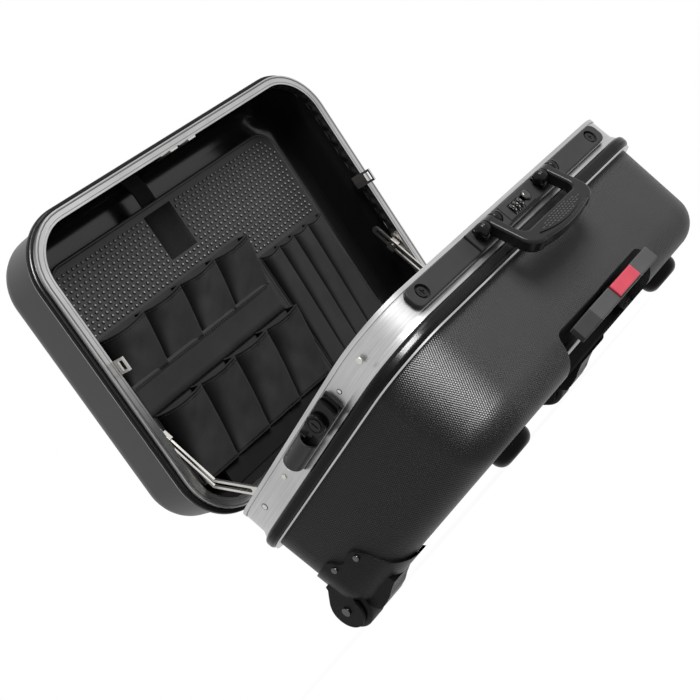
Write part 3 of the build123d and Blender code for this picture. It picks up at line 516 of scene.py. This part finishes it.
class Shape:
    """Points and faces gathered for one piece, in millimetres."""

    def __init__(self):
        self.points = []
        self.faces = []

    def add(self, points, faces):
        start = len(self.points)
        self.points.extend(Vector(point) for point in points)
        self.faces.extend(tuple(start + index for index in face) for face in faces)
        return self

    def grid(self, rows, around=False):
        """Quads between rows of points, closed into a ring along each row if asked."""
        wide = len(rows[0])
        faces = []
        for row in range(len(rows) - 1):
            below = row * wide
            above = below + wide
            for left in range(wide if around else wide - 1):
                right = (left + 1) % wide
                faces.append((below + left, below + right, above + right, above + left))
        return self.add([point for row in rows for point in row], faces)

    def tube(self, line, radius, sides=8, loop=False, squeeze=1.0, up=(0, 0, 1)):
        """Round or flattened tube along a line of points."""
        line = [Vector(point) for point in line]
        count = len(line)
        rows = []
        for index, point in enumerate(line):
            before = line[index - 1] if loop or index else point
            after = line[(index + 1) % count] if loop or index < count - 1 else point
            way = (after - before).normalized()
            across = way.cross(Vector(up)).normalized()
            over = across.cross(way)
            rows.append([point + radius * (across * math.cos(turn) + over * (squeeze * math.sin(turn)))
                         for turn in turns(sides)])
        if loop:
            rows.append(rows[0])
        start = len(self.points)
        self.grid(rows, around=True)
        if not loop:
            last = start + (count - 1) * sides
            self.faces.append(tuple(range(start + sides - 1, start - 1, -1)))
            self.faces.append(tuple(range(last, last + sides)))
        return self

    def dome(self, centre, across, along, radius, height, sides=10, rings=3):
        """Low round stud that stands on a surface."""
        centre, across, along = Vector(centre), Vector(across), Vector(along)
        out = across.cross(along)
        rows = []
        for ring in range(rings):
            lift = math.pi / 2 * ring / rings
            rows.append([centre + out * (height * math.sin(lift))
                         + radius * math.cos(lift) * (across * math.cos(turn) + along * math.sin(turn))
                         for turn in turns(sides)])
        start = len(self.points)
        self.grid(rows, around=True)
        top = start + (rings - 1) * sides
        self.add([centre + out * height], [])
        tip = len(self.points) - 1
        self.faces.extend((top + side, top + (side + 1) % sides, tip) for side in range(sides))
        return self

    def stitches(self, line, out, length=2.4, gap=1.3, radius=0.32):
        """Row of thread stitches along a line, lying on its surface."""
        line = [Vector(point) for point in line]
        reach = [0.0]
        for first, second in zip(line, line[1:]):
            reach.append(reach[-1] + (second - first).length)

        def at(distance):
            after = bisect_left(reach, distance, 1)
            share = (distance - reach[after - 1]) / (reach[after] - reach[after - 1])
            return line[after - 1].lerp(line[after], share)

        spot = gap
        lift = Vector(out) * radius * 0.6
        while spot + length < reach[-1]:
            ends = [at(spot) - lift, at(spot + length * 0.25) + lift, at(spot + length * 0.75) + lift,
                    at(spot + length) - lift]
            self.tube(ends, radius, sides=5, up=out)
            spot += length + gap
        return self

    def piece(self, name, place, body, finish, slot, smooth=True):
        """Make the piece, in the case's frame, riding on a body."""
        mesh = bpy.data.meshes.new(name)
        mesh.from_pydata([place @ point for point in self.points], [], self.faces)
        build = bmesh.new()
        build.from_mesh(mesh)
        bmesh.ops.recalc_face_normals(build, faces=build.faces)
        build.to_mesh(mesh)
        build.free()
        mesh.polygons.foreach_set("use_smooth", [smooth] * len(mesh.polygons))
        mesh.materials.append(finish_named(finish))
        made = new_object(name, mesh)
        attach(made, body)
        return made


def rounded_outline(x, y, radius, step=6.0):
    """Points round a rounded rectangle."""
    left, right = x[0] + radius, x[1] - radius
    low, high = y[0] + radius, y[1] - radius
    points = []
    for quarter, middle in enumerate(((right, high), (left, high), (left, low), (right, low))):
        for turn in range(CORNER_STEPS + 1):
            angle = math.radians(90 * quarter + 90 * turn / CORNER_STEPS)
            points.append((middle[0] + radius * math.cos(angle), middle[1] + radius * math.sin(angle)))
    spread = []
    for first, second in zip(points, points[1:] + points[:1]):
        count = max(1, round(math.dist(first, second) / step))
        for part in range(count):
            spread.append(tuple(a + (b - a) * part / count for a, b in zip(first, second)))
    return spread


def thicken(cloth, thickness, offset=0):
    """Give a sheet of cloth its thickness in millimetres, about its middle unless told otherwise."""
    thick = cloth.modifiers.new("cloth", "SOLIDIFY")
    thick.thickness = thickness * MM
    thick.offset = offset


def under_cloth(x, y, reach):
    """Whether a stud that reaches this far touches a panel or the patch."""
    return any(x0 - reach < x < x1 + reach and y0 - reach < y < y1 + reach
               for (x0, x1), (y0, y1) in (*PANELS, PATCH))


def make_studs(sizes):
    """Raised studs on the tool board, in staggered rows, left out under the cloth."""
    shape = Shape()
    pitch = sizes.stud_pitch / MM
    radius = sizes.stud_radius / MM
    rows = int((BOARD_Y[1] - BOARD_Y[0] - 2 * STUD_END_MARGIN) / (pitch * STUD_ROW))
    for row in range(rows + 1):
        y = BOARD_Y[0] + STUD_END_MARGIN + row * pitch * STUD_ROW
        start = -BOARD_HALF + STUD_MARGIN + (pitch / 2 if row % 2 else 0)
        for column in range(int((2 * BOARD_HALF - 2 * STUD_MARGIN) / pitch) + 1):
            x = start + column * pitch
            if x > BOARD_HALF - STUD_MARGIN or under_cloth(x, y, radius):
                continue
            corner_x = abs(x) - (BOARD_HALF - BOARD_R)
            corner_y = BOARD_Y[0] + BOARD_R - y
            corner = math.hypot(corner_x, corner_y)
            if corner_x > 0 and corner_y > 0 and corner > BOARD_R - STUD_MARGIN:
                continue
            shape.dome((x, y, BOARD_Z), (0, 1, 0), (1, 0, 0), radius, sizes.stud_height / MM)
    shape.piece("board_studs", LID, "board", "stud_plastic", "board_grey")


def make_welt(sizes):
    """Rounded welt along the board's edge, open along its hinge."""
    shape = Shape()
    outline = rounded_outline((-BOARD_HALF + 1, BOARD_HALF - 1), BOARD_Y, BOARD_R)
    edge = [point for point in outline if point[1] < BOARD_Y[1] - 3]
    start = next(i for i in range(len(edge)) if math.dist(edge[i], edge[i - 1]) > 20)
    line = [(x, y, BOARD_Z + WELT_RISE) for x, y in edge[start:] + edge[:start]]
    shape.tube(line, sizes.welt_radius / MM, sides=10)
    shape.piece("board_welt", LID, "board", "board_plastic", "board_grey")


def pocket_depth(u, v, depth):
    """How far the cloth stands off the board, across a pocket and down it."""
    pleat = min(1.0, u / 0.05, (1 - u) / 0.06)
    front = 0.16 + 0.84 * u ** 0.75
    return depth * pleat * front * (1 - 0.80 * v ** 1.3)


def pocket_rows(x, y, count, depth, seed):
    """Rows of points over a row of pockets, mouth first, and how much painted shade each point takes for
    lying deep in a fold, from 0 to 1.
    """
    columns, down = POCKET_CELLS
    width = (x[1] - x[0]) / count
    rows = []
    painted_fold_shades = []
    for row in range(down + 1):
        v = row / down
        # Width of the painted fold shade at each pocket's left seam, widest at the mouth
        reach = 0.08 + 0.34 * (1 - v)
        line = []
        for column in range(count * columns + 1):
            cell = min(column // columns, count - 1)
            u = column / columns - cell
            px = x[0] + (cell + u) * width
            sag = MOUTH_SAG * math.sin(math.pi * u) * (1 - v) ** 2
            py = y[0] + (y[1] - y[0]) * v + sag
            loose = math.sin(math.pi * u) * (1 - 0.5 * v)
            broad = noise.noise(Vector((px * 0.05, py * 0.035, seed)))
            fine = noise.noise(Vector((px * 0.15 + py * 0.06, py * 0.05, seed + 9)))
            crease = broad * 0.13 * depth * loose + fine * 0.06 * depth * loose
            full = max(0.0, pocket_depth(u, v, depth) + crease)
            line.append((px, py, BOARD_Z - POCKET_GAP - full))
            # Painted shade, full at each pocket's left seam and fading across the pocket
            painted_fold_shades.append(math.exp(-((u % 1 / reach) ** 3)))
        rows.append(line)
    return rows, painted_fold_shades


def make_pockets(pockets, depth, seed):
    """One row of pleated pockets with its bound mouth and its seams."""
    name, x, y, count = pockets
    rows, painted_fold_shades = pocket_rows(x, y, count, depth, seed)
    cloth = Shape().grid(rows).piece(
        f"{name}_pocket_cloth", LID, "board", "pocket_cloth", "pocket_fabric")
    # The painted fold shade is kept on the cloth's points for its finish
    cloth.data.attributes.new("fold", "FLOAT", "POINT").data.foreach_set("value", painted_fold_shades)
    thicken(cloth, CLOTH_T)

    seams = [[line[seam * POCKET_CELLS[0]] for line in rows] for seam in range(count + 1)]
    trim = Shape()
    for line, (radius, flatness) in ((rows[0], MOUTH_BINDING), (rows[-1], FOOT_BINDING),
                                     *((seam, SEAM_BINDING) for seam in seams)):
        trim.tube(line, radius, squeeze=flatness)
    edging = trim.piece(f"{name}_pocket_binding", LID, "board", "webbing", "pocket_fabric")

    thread = Shape()
    for line, inset in zip((rows[0], rows[-1]), STITCH_INSET):
        thread.stitches([(px, py + inset, pz - STITCH_LIFT) for px, py, pz in line], (0, 0, -1))
    sewing = thread.piece(f"{name}_pocket_stitches", LID, "board", "webbing", "pocket_fabric")

    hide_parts(f"{name}_pockets")


def make_panels():
    """Cloth panels that the pockets are sewn to, with the band between the rows."""
    for number, (x, y) in enumerate(PANELS, 1):
        outline = rounded_outline(x, y, PANEL_R)
        count = len(outline)
        levels = [[(px, py, BOARD_Z - lift) for px, py in outline] for lift in PANEL_LIFTS]
        shape = Shape().grid(levels, around=True)
        shape.faces.append(tuple(range(count)))
        shape.faces.append(tuple(range(count, 2 * count)))
        panel = shape.piece(
            f"pocket_panel_{number}", LID, "board", "pocket_cloth", "pocket_fabric", smooth=False)
    rows = []
    for y, lift in BAND:
        line = []
        for x in BAND_X:
            crease = 0.4 * noise.noise(Vector((x * 0.04, y * 0.05, 7)))
            line.append((x, y, BOARD_Z - lift - crease))
        rows.append(line)
    band = Shape().grid(rows).piece("pocket_band", LID, "board", "pocket_cloth", "pocket_fabric")
    thicken(band, BAND_T, offset=-1)
    thread = Shape()
    for y, lift in BAND_SEAMS:
        thread.stitches([(x, y, BOARD_Z - lift) for x in SEAM_X], (0, 0, -1))
    thread.piece("band_stitches", LID, "board", "webbing", "pocket_fabric")


def make_patch():
    """Hook-and-loop patch sewn to the board."""
    (x0, x1), (y0, y1) = PATCH
    wide, high = PATCH_CELLS
    rows = []
    for row in range(high + 1):
        v = row / high
        line = []
        for column in range(wide + 1):
            u = column / wide
            edge = min(u, 1 - u, v, 1 - v)
            lift = 1.5 * min(1.0, edge * 9) + 0.25 * noise.noise(Vector((u * 30, v * 40, 4)))
            line.append((x0 + (x1 - x0) * u, y0 + (y1 - y0) * v, BOARD_Z - 0.2 - max(0.05, lift)))
        rows.append(line)
    patch = Shape().grid(rows).piece("board_patch", LID, "board", "loop_pile", "webbing")
    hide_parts("hook_patch")


def make_strap():
    """Webbing strap from the lid's front wall to the back of the board."""
    rows = []
    for first, second in zip(STRAP, STRAP[1:]):
        for part in range(STRAP_STEPS):
            share = part / STRAP_STEPS
            y, z = (a + (b - a) * share for a, b in zip(first, second))
            rows.append([(x, y, BOARD_Z + z) for x in STRAP_X])
    strap = Shape().grid(rows).piece("lid_strap", LID, "lid", "webbing", "webbing")
    thicken(strap, STRAP_T)
    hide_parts("board_strap")


def lining_line(side):
    """Points and inward directions along the frame's inside, from its front corner back to the stay."""
    radius = CASE_R - LINING_INSET
    middle_x, middle_y = (half - CASE_R for half in CASE_HALF)
    line = []
    for turn in range(LINING_TURN, 1, 2):
        angle = math.radians(turn)
        way = Vector((side * math.cos(angle), math.sin(angle), 0))
        line.append((Vector((side * middle_x, -middle_y, 0)) + radius * way, -way))
    for back in range(LINING_STEP, LINING_END + int(middle_y), LINING_STEP):
        line.append((Vector((side * (middle_x + radius), back - middle_y, 0)), Vector((-side, 0, 0))))
    return line


def make_lining_edges():
    """Puckered edge of the lining, stuck to the inside of the lid's frame."""
    for name, side in SIDES.items():
        line = lining_line(side)
        rows = []
        for level in range(LINING_DOWN + 1):
            share = level / LINING_DOWN
            row = []
            for index, (point, inward) in enumerate(line):
                pucker = math.sin(index * 0.83 + 2.1 * share) * math.sin(index * 0.29 + 1.7 - 3.0 * share)
                swell = math.sin(math.pi * share) * (0.9 + 1.1 * pucker) + 0.15
                fray = 0.9 * share * math.sin(index * 0.57)
                height = LINING_Z[0] * (1 - share) + LINING_Z[1] * share + fray
                row.append(point + inward * swell + Vector((0, 0, height)))
            rows.append(row)
        edge = Shape().grid(rows).piece(f"lining_edge_{name}", LID, "lid", "webbing", "webbing")


def make_rim_seams():
    """Dark grey strips round the lid frame's rim, between its lips, as painted shade in its grooves."""
    shape = Shape()
    for inset, radius in RIM_GROOVE_SHADES:
        half_x, half_y = (half - inset for half in CASE_HALF)
        outline = rounded_outline((-half_x, half_x), (-half_y, half_y), CASE_R - inset)
        line = [(x, y, RIM_Z) for x, y in outline]
        shape.tube(line, radius, loop=True, squeeze=GROOVE_SHADE_RISE / radius)
    shape.piece("rim_seams", LID, "lid", "seam_grey", "bright_steel")


def side_circle(side, face, y, radius, steps):
    """Points of a circle on one side of the case, at the latches' height."""
    return [(side * face, y + radius * math.cos(turn), LATCH_Z + radius * math.sin(turn))
            for turn in turns(steps)]


def make_frame_rivets():
    """Rivet heads in the frame's sides, beyond the latches, each ringed with a dark tube painted as the
    shade in its countersink.
    """
    heads = Shape()
    shade_rings = Shape()
    for side in SIDES.values():
        across, along = ((0, 1, 0), (0, 0, 1)) if side > 0 else ((0, 0, 1), (0, 1, 0))
        for y, radius in FRAME_RIVETS:
            centre = (side * FRAME_FACE, y, LATCH_Z)
            heads.dome(centre, across, along, radius, RIVET_RISE, sides=20, rings=5)
            # Dark ring round each rivet, painted shade in its countersink
            circle = side_circle(side, FRAME_FACE, y, radius, 24)
            shade_rings.tube(circle, SHADE_RING_R, sides=6, loop=True, up=(1, 0, 0))
    heads.piece("side_rivets", BASE, "base", "nickel", "bright_steel")
    shade_rings.piece("rivet_sinks", BASE, "base", "gunmetal", "bright_steel")


def make_grip_bumps():
    """Rounded diamond bumps on the pad of the carry handle."""
    shape = Shape()
    for row in range(-5, 6):
        for column in range(-20, 21):
            u = (column + (0.5 if row % 2 else 0)) * BUMP_PITCH
            v = row * BUMP_PITCH * 0.5
            if abs(v) > PAD_RISE * (1 - (u / PAD_HALF) ** 2) - BUMP_EDGE:
                continue
            ring = [(u + BUMP_HALF[0] * math.cos(turn), v + BUMP_HALF[1] * math.sin(turn))
                    for turn in turns(8)]
            shape.grid([[(u + (x - u) * share, v + (y - v) * share, lift) for x, y in ring]
                        for share, lift in BUMP_PROFILE], around=True)
    hung = Matrix.Translation((0, *PIVOT)) @ Matrix.Rotation(math.pi / 2 - HANG, 4, "X")
    pad = BASE @ hung @ Matrix.Translation((0, PAD_ROW, PAD_FACE))
    shape.piece("grip_bumps", pad, "carry_handle", "latch_grey", "grip_pad")


def make_lug_domes():
    """Polished round cheeks on the lugs that carry the handle."""
    shape = Shape()
    for x, out in LUG_CHEEKS:
        shape.dome((x, *PIVOT), (0, 1, 0), (0, 0, out), CHEEK_R, CHEEK_RISE, sides=28, rings=7)
    shape.piece("lug_domes", BASE, "base", "glossy_black", "moulded_black")


def on_dial(x, radius, turn):
    """A point at this radius and turn round the axis of the dials."""
    return x, DIAL_Y - radius * math.cos(turn), DIAL_Z + radius * math.sin(turn)


def make_dials():
    """Dials with notched edges, turned down a little so that their raised numbers clear the frame."""
    edge = DIAL_HALF - 0.5
    right = ((DIAL_HALF, DIAL_BORE, 0), (DIAL_HALF, DIAL_R - 0.3, NOTCH), (edge, DIAL_R, NOTCH),
             (edge - 0.2, DIAL_R, 0))
    left = [(-across, radius, cut) for across, radius, cut in right]
    profile = (*left, *reversed(right), left[0])
    for number, x in enumerate(DIAL_X, 1):
        rows = [[on_dial(x + across, radius - cut * (step % 4 < 2), turn)
                 for step, turn in enumerate(turns(DIAL_STEPS))] for across, radius, cut in profile]
        name = f"lock_dial_{number}"
        dial = Shape().grid(rows, around=True).piece(
            f"notched_dial_{number}", BASE, name, "black_steel", "black_screws", smooth=False)
        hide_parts(name)


def make_dial_numbers():
    """Raised white numbers round each dial of the lock."""
    for number, x in enumerate(DIAL_X, 1):
        shape = Shape()
        for digit in range(10):
            curve = bpy.data.curves.new("digit", "FONT")
            curve.body = str(digit)
            curve.size = DIGIT_SIZE
            curve.align_x = curve.align_y = "CENTER"
            curve.extrude = DIGIT_T
            text = bpy.data.objects.new("digit", curve)
            mesh = bpy.data.meshes.new_from_object(text)
            turn = math.radians(36 * digit + DIGIT_TURN)
            points = [on_dial(x + spot.x, DIAL_R + DIGIT_RISE + spot.z, turn + spot.y / DIAL_R)
                      for spot in (vertex.co for vertex in mesh.vertices)]
            shape.add(points, [tuple(face.vertices) for face in mesh.polygons])
            bpy.data.objects.remove(text)
            bpy.data.curves.remove(curve)
            bpy.data.meshes.remove(mesh)
        shape.piece(f"dial_numbers_{number}", BASE, f"lock_dial_{number}", "white_paint", "black_screws",
                    smooth=False)


def make_key_rings():
    """Stepped rings round the key cylinders of the latches."""
    for name, side in SIDES.items():
        shape = Shape()
        for radius, thick in KEY_RINGS:
            circle = side_circle(side, KEY_FACE, KEY_Y, radius, 40)
            shape.tube(circle, thick, loop=True, up=(1, 0, 0))
        shape.piece(f"key_rings_{name}", BASE, f"latch_slider_{name}", "glossy_black", "moulded_black")


RGB = {"subtype": "COLOR", "size": 3, "min": 0, "max": 1}
LENGTH = {"subtype": "DISTANCE", "min": 0.0005, "max": 0.03}
POWER = {"subtype": "POWER", "min": 0, "max": 2000}


class CaseColors(bpy.types.PropertyGroup):
    """Colours of the case's finishes."""

    shell: FloatVectorProperty(
        name="Base shell", description="Ribbed plastic of the base", default=(0.038, 0.038, 0.039), **RGB)
    lid: FloatVectorProperty(
        name="Lid shell", description="Satin plastic, outside", default=(0.036, 0.036, 0.037), **RGB)
    lining: FloatVectorProperty(
        name="Lid inside", description="Glossy plastic, inside", default=(0.014, 0.014, 0.014), **RGB)
    aluminium: FloatVectorProperty(
        name="Aluminium", description="Frame profiles and tubes", default=(0.47, 0.47, 0.47), **RGB)
    rubber: FloatVectorProperty(
        name="Rubber", description="Bumpers, feet and tyres", default=(0.009, 0.009, 0.009), **RGB)
    moulding: FloatVectorProperty(
        name="Black mouldings", description="Handle, latches", default=(0.015, 0.015, 0.015), **RGB)
    steel: FloatVectorProperty(
        name="Plated steel", description="Stays, rivets, hinges", default=(0.66, 0.64, 0.61), **RGB)
    button: FloatVectorProperty(
        name="Release button", description="On the pull-out handle", default=(0.46, 0.048, 0.075), **RGB)
    board: FloatVectorProperty(
        name="Tool board", description="Studded board in the lid", default=(0.030, 0.030, 0.031), **RGB)
    cloth: FloatVectorProperty(
        name="Pocket cloth", description="Woven pockets and straps", default=(0.032, 0.031, 0.032), **RGB)


class CaseSizes(bpy.types.PropertyGroup):
    """Sizes of the pieces added to the board."""

    stud_pitch: FloatProperty(
        name="Stud pitch", description="Distance between studs", default=0.0075, **LENGTH)
    stud_radius: FloatProperty(
        name="Stud radius", description="Radius of a stud", default=0.0020, **LENGTH)
    stud_height: FloatProperty(
        name="Stud height", description="Height of a stud", default=0.0018, **LENGTH)
    welt_radius: FloatProperty(
        name="Welt radius", description="Radius of the board's welt", default=0.0024, **LENGTH)
    upper_depth: FloatProperty(
        name="Upper pockets", description="How far they stand out", default=0.0210, **LENGTH)
    lower_depth: FloatProperty(
        name="Lower pockets", description="How far they stand out", default=0.0250, **LENGTH)
    side_depth: FloatProperty(
        name="Side pockets", description="How far they stand out", default=0.0092, **LENGTH)


class CaseStage(bpy.types.PropertyGroup):
    """Camera and light."""

    lens: FloatProperty(
        name="Lens", description="Focal length on a 36 mm sensor", subtype="DISTANCE_CAMERA",
        default=69.596, min=10, max=300)
    world_light: FloatProperty(
        name="Room light", description="Strength of the even light", subtype="FACTOR",
        default=0.16, min=0, max=2)
    key_light: FloatProperty(
        name="Key lamp", description="Power of the main lamp", default=72, **POWER)
    corner_light: FloatProperty(
        name="Corner lamp", description="Power of the highlight on the base", default=760, **POWER)


class CASE_OT_stage(bpy.types.Operator):
    """Make the camera, floor, room and lamps."""

    bl_idname = "toolcase.stage"
    bl_label = "Stage"

    def execute(self, context):
        stage = context.scene.case_stage
        context.scene.view_settings.view_transform = "Standard"
        self.camera(context, stage)
        self.room(context, stage)
        self.floor()
        self.lamp("key_lamp", stage.key_light, *KEY_LAMP)
        glint = self.lamp("corner_lamp", stage.corner_light, *CORNER_LAMP)
        self.gloss_only(glint, CORNER_LIT)
        return {"FINISHED"}

    def camera(self, context, stage):
        forward = Vector(CAMERA_FORWARD).normalized()
        right = forward.cross(Vector(CAMERA_UP)).normalized()
        up = right.cross(forward)
        data = bpy.data.cameras.new("camera")
        data.lens = stage.lens
        data.sensor_width = SENSOR_MM
        data.shift_x, data.shift_y = CAMERA_SHIFT
        data.clip_start, data.clip_end = CAMERA_CLIP
        camera = new_object("camera", data)
        turn = Matrix((right, up, -forward)).transposed().to_4x4()
        camera.matrix_world = Matrix.Translation(CAMERA_PLACE) @ turn
        context.scene.camera = camera

    def room(self, context, stage):
        """White where the room is seen or mirrored, and even light elsewhere."""
        world = bpy.data.worlds.new("room")
        nodes = Nodes(world)
        level = stage.world_light + nodes.backdrop_seen() * (1 - stage.world_light)
        nodes.feed(nodes.tree.nodes["Background"], {"Color": (1, 1, 1, 1), "Strength": level})
        context.scene.world = world

    def floor(self):
        """Pale floor that shows as white and keeps the case's shadow."""
        corners = [(FLOOR_HALF * x, FLOOR_HALF * y, 0) for x, y in ((-1, -1), (1, -1), (1, 1), (-1, 1))]
        mesh = bpy.data.meshes.new("floor")
        mesh.from_pydata(corners, [], [(0, 1, 2, 3)])
        floor = new_object("floor", mesh)
        material = bpy.data.materials.new("pale_floor")
        nodes = Nodes(material)
        nodes.tree.nodes.remove(nodes.tree.nodes["Principled BSDF"])
        matt = nodes.node("ShaderNodeBsdfDiffuse", values={"Color": FLOOR_GREY})
        spot = nodes.node("ShaderNodeTexCoord", output="Object")
        away = nodes.node("ShaderNodeVectorMath", {"operation": "LENGTH"}, {0: spot}, output="Value")
        fade = {"Value": away, "From Min": FLOOR_FADE[0], "From Max": FLOOR_FADE[1],
                "To Min": FLOOR_LEVEL[0], "To Max": FLOOR_LEVEL[1]}
        level = nodes.node("ShaderNodeMapRange", {"interpolation_type": "SMOOTHSTEP"}, fade)
        color = nodes.node("ShaderNodeCombineXYZ", values={"X": level, "Y": level, "Z": level})
        glow = nodes.node("ShaderNodeEmission", values={"Color": color, "Strength": FLOOR_GLOW})
        shown = nodes.backdrop_seen() * FLOOR_SHARE
        blend = nodes.node("ShaderNodeMixShader", values={0: shown, 1: matt, 2: glow})
        nodes.feed(nodes.tree.nodes["Material Output"], {"Surface": blend})
        mesh.materials.append(material)

    def gloss_only(self, lamp, nodes):
        """Let a lamp show only as a highlight, on these nodes."""
        lamp.visible_diffuse = False
        lit = bpy.data.collections.new(lamp.name + "_lit")
        for node in nodes:
            lit.objects.link(frame["nodes"][node])
        lamp.light_linking.receiver_collection = lit

    def lamp(self, name, power, place, size):
        data = bpy.data.lights.new(name, "AREA")
        data.energy = power
        data.shape = "RECTANGLE"
        data.size, data.size_y = size
        lamp = new_object(name, data)
        lamp.location = place
        lamp.rotation_mode = "QUATERNION"
        lamp.rotation_quaternion = (Vector(LAMP_AIM) - Vector(place)).to_track_quat("-Z", "Y")
        return lamp


class CASE_OT_shells(bpy.types.Operator):
    """Finish the shells, frames, bumpers and feet, and make the dark strips of painted shade in the
    grooves of the lid frame's rim.
    """

    bl_idname = "toolcase.shells"
    bl_label = "Shells and frames"

    def execute(self, context):
        dress("ribbed_shell", "base_shell")
        dress("lid_shell", "lid_shell")
        dress("frame_aluminium", "base_frame")
        dress("lid_aluminium", "lid_frame")
        dress("bumper_rubber", "base_bumper", "lid_bumper", "front_feet")
        make_rim_seams()
        return {"FINISHED"}


class CASE_OT_hardware(bpy.types.Operator):
    """Finish the hinges, stays, strikers and bolts, and make the rivets in the frame's sides."""

    bl_idname = "toolcase.hardware"
    bl_label = "Hinges and stays"

    def execute(self, context):
        dress("nickel", "hinge_base_leaves", "hinge_lid_leaves", "hinge_pins", "stay_left", "stay_right",
              "stay_pivots", "stay_brackets", "strikers", "frame_rivets", "lock_bolt", "latch_bolt_left",
              "latch_bolt_right")
        dress("chrome", "stay_clip_left", "stay_clip_right")
        dress("gunmetal", "guard_rivets", "wheel_axles")
        make_frame_rivets()
        return {"FINISHED"}


class CASE_OT_wheels(bpy.types.Operator):
    """Finish the wheels and their guards."""

    bl_idname = "toolcase.wheels"
    bl_label = "Wheels"

    def execute(self, context):
        for name in SIDES:
            dress("guard_hide", f"wheel_bracket_{name}")
            dress("tyre_rubber", f"wheel_tyre_{name}")
            dress("moulded_black", f"wheel_hub_{name}")
        return {"FINISHED"}


class CASE_OT_carry_handle(bpy.types.Operator):
    """Finish the handle plate and carry handle, and make the pad's bumps and the lugs' cheeks."""

    bl_idname = "toolcase.carry_handle"
    bl_label = "Carry handle"

    def execute(self, context):
        dress("plate_black", "handle_plate")
        dress("handle_black", "carry_handle", "grip_pad")
        dress("glossy_black", "handle_lugs", "handle_pins")
        dress("black_steel", "plate_screws")
        make_grip_bumps()
        make_lug_domes()
        return {"FINISHED"}


class CASE_OT_lock(bpy.types.Operator):
    """Finish the dial lock and make its notched dials and their numbers."""

    bl_idname = "toolcase.lock"
    bl_label = "Dial lock"

    def execute(self, context):
        dress("plate_black", "lock_body")
        dress("gunmetal", "lock_button")
        make_dials()
        make_dial_numbers()
        return {"FINISHED"}


class CASE_OT_latches(bpy.types.Operator):
    """Finish the side latches and make the rings round their keys."""

    bl_idname = "toolcase.latches"
    bl_label = "Side latches"

    def execute(self, context):
        for name in SIDES:
            dress("latch_grey", f"latch_housing_{name}")
            dress("glossy_black", f"latch_slider_{name}")
            dress("black_steel", f"latch_key_{name}")
        make_key_rings()
        return {"FINISHED"}


class CASE_OT_pull_handle(bpy.types.Operator):
    """Finish the pull-out handle."""

    bl_idname = "toolcase.pull_handle"
    bl_label = "Pull-out handle"

    def execute(self, context):
        dress("tube_aluminium", "tele_outer_tubes", "tele_mid_tubes", "tele_inner_tubes")
        dress("moulded_black", "tele_clamps", "tele_cover")
        dress("grip_plastic", "tele_grip")
        dress("red_button", "tele_button")
        return {"FINISHED"}


class CASE_OT_board(bpy.types.Operator):
    """Finish the tool board and make its studs, welt, patch and strap and the lining's edges."""

    bl_idname = "toolcase.board"
    bl_label = "Tool board"

    def execute(self, context):
        dress("board_plastic", "tool_board")
        dress("moulded_black", "board_hinge")
        sizes = context.scene.case_sizes
        make_studs(sizes)
        make_welt(sizes)
        make_patch()
        make_strap()
        make_lining_edges()
        return {"FINISHED"}


class CASE_OT_pockets(bpy.types.Operator):
    """Make the cloth pockets on the board."""

    bl_idname = "toolcase.pockets"
    bl_label = "Pockets"

    def execute(self, context):
        sizes = context.scene.case_sizes
        make_panels()
        make_pockets(UPPER, sizes.upper_depth / MM, 1.0)
        make_pockets(LOWER, sizes.lower_depth / MM, 2.0)
        make_pockets(SIDE, sizes.side_depth / MM, 3.0)
        return {"FINISHED"}


GROUPS = {"case_colors": CaseColors, "case_sizes": CaseSizes, "case_stage": CaseStage}
OPERATORS = (CASE_OT_stage, CASE_OT_shells, CASE_OT_hardware, CASE_OT_wheels, CASE_OT_carry_handle,
             CASE_OT_lock, CASE_OT_latches, CASE_OT_pull_handle, CASE_OT_board, CASE_OT_pockets)


class CASE_PT_panel(bpy.types.Panel):
    """Lists the steps that dress the case."""

    bl_idname = "CASE_PT_panel"
    bl_label = "Tool case"
    bl_space_type = "VIEW_3D"
    bl_region_type = "UI"
    bl_category = "Tool case"

    def draw(self, context):
        for group in GROUPS:
            settings = getattr(context.scene, group)
            box = self.layout.box()
            for key in settings.__annotations__:
                box.prop(settings, key)
        for operator in OPERATORS:
            self.layout.operator(operator.bl_idname)


def register():
    for cls in (*GROUPS.values(), *OPERATORS, CASE_PT_panel):
        bpy.utils.register_class(cls)
    for key, group in GROUPS.items():
        setattr(bpy.types.Scene, key, PointerProperty(type=group))


def unregister():
    for key in GROUPS:
        delattr(bpy.types.Scene, key)
    for cls in (CASE_PT_panel, *reversed(OPERATORS), *GROUPS.values()):
        bpy.utils.unregister_class(cls)


def main():
    register()
    for operator in OPERATORS:
        group, action = operator.bl_idname.split(".")
        getattr(getattr(bpy.ops, group), action)()


if __name__ == "__main__":
    main()
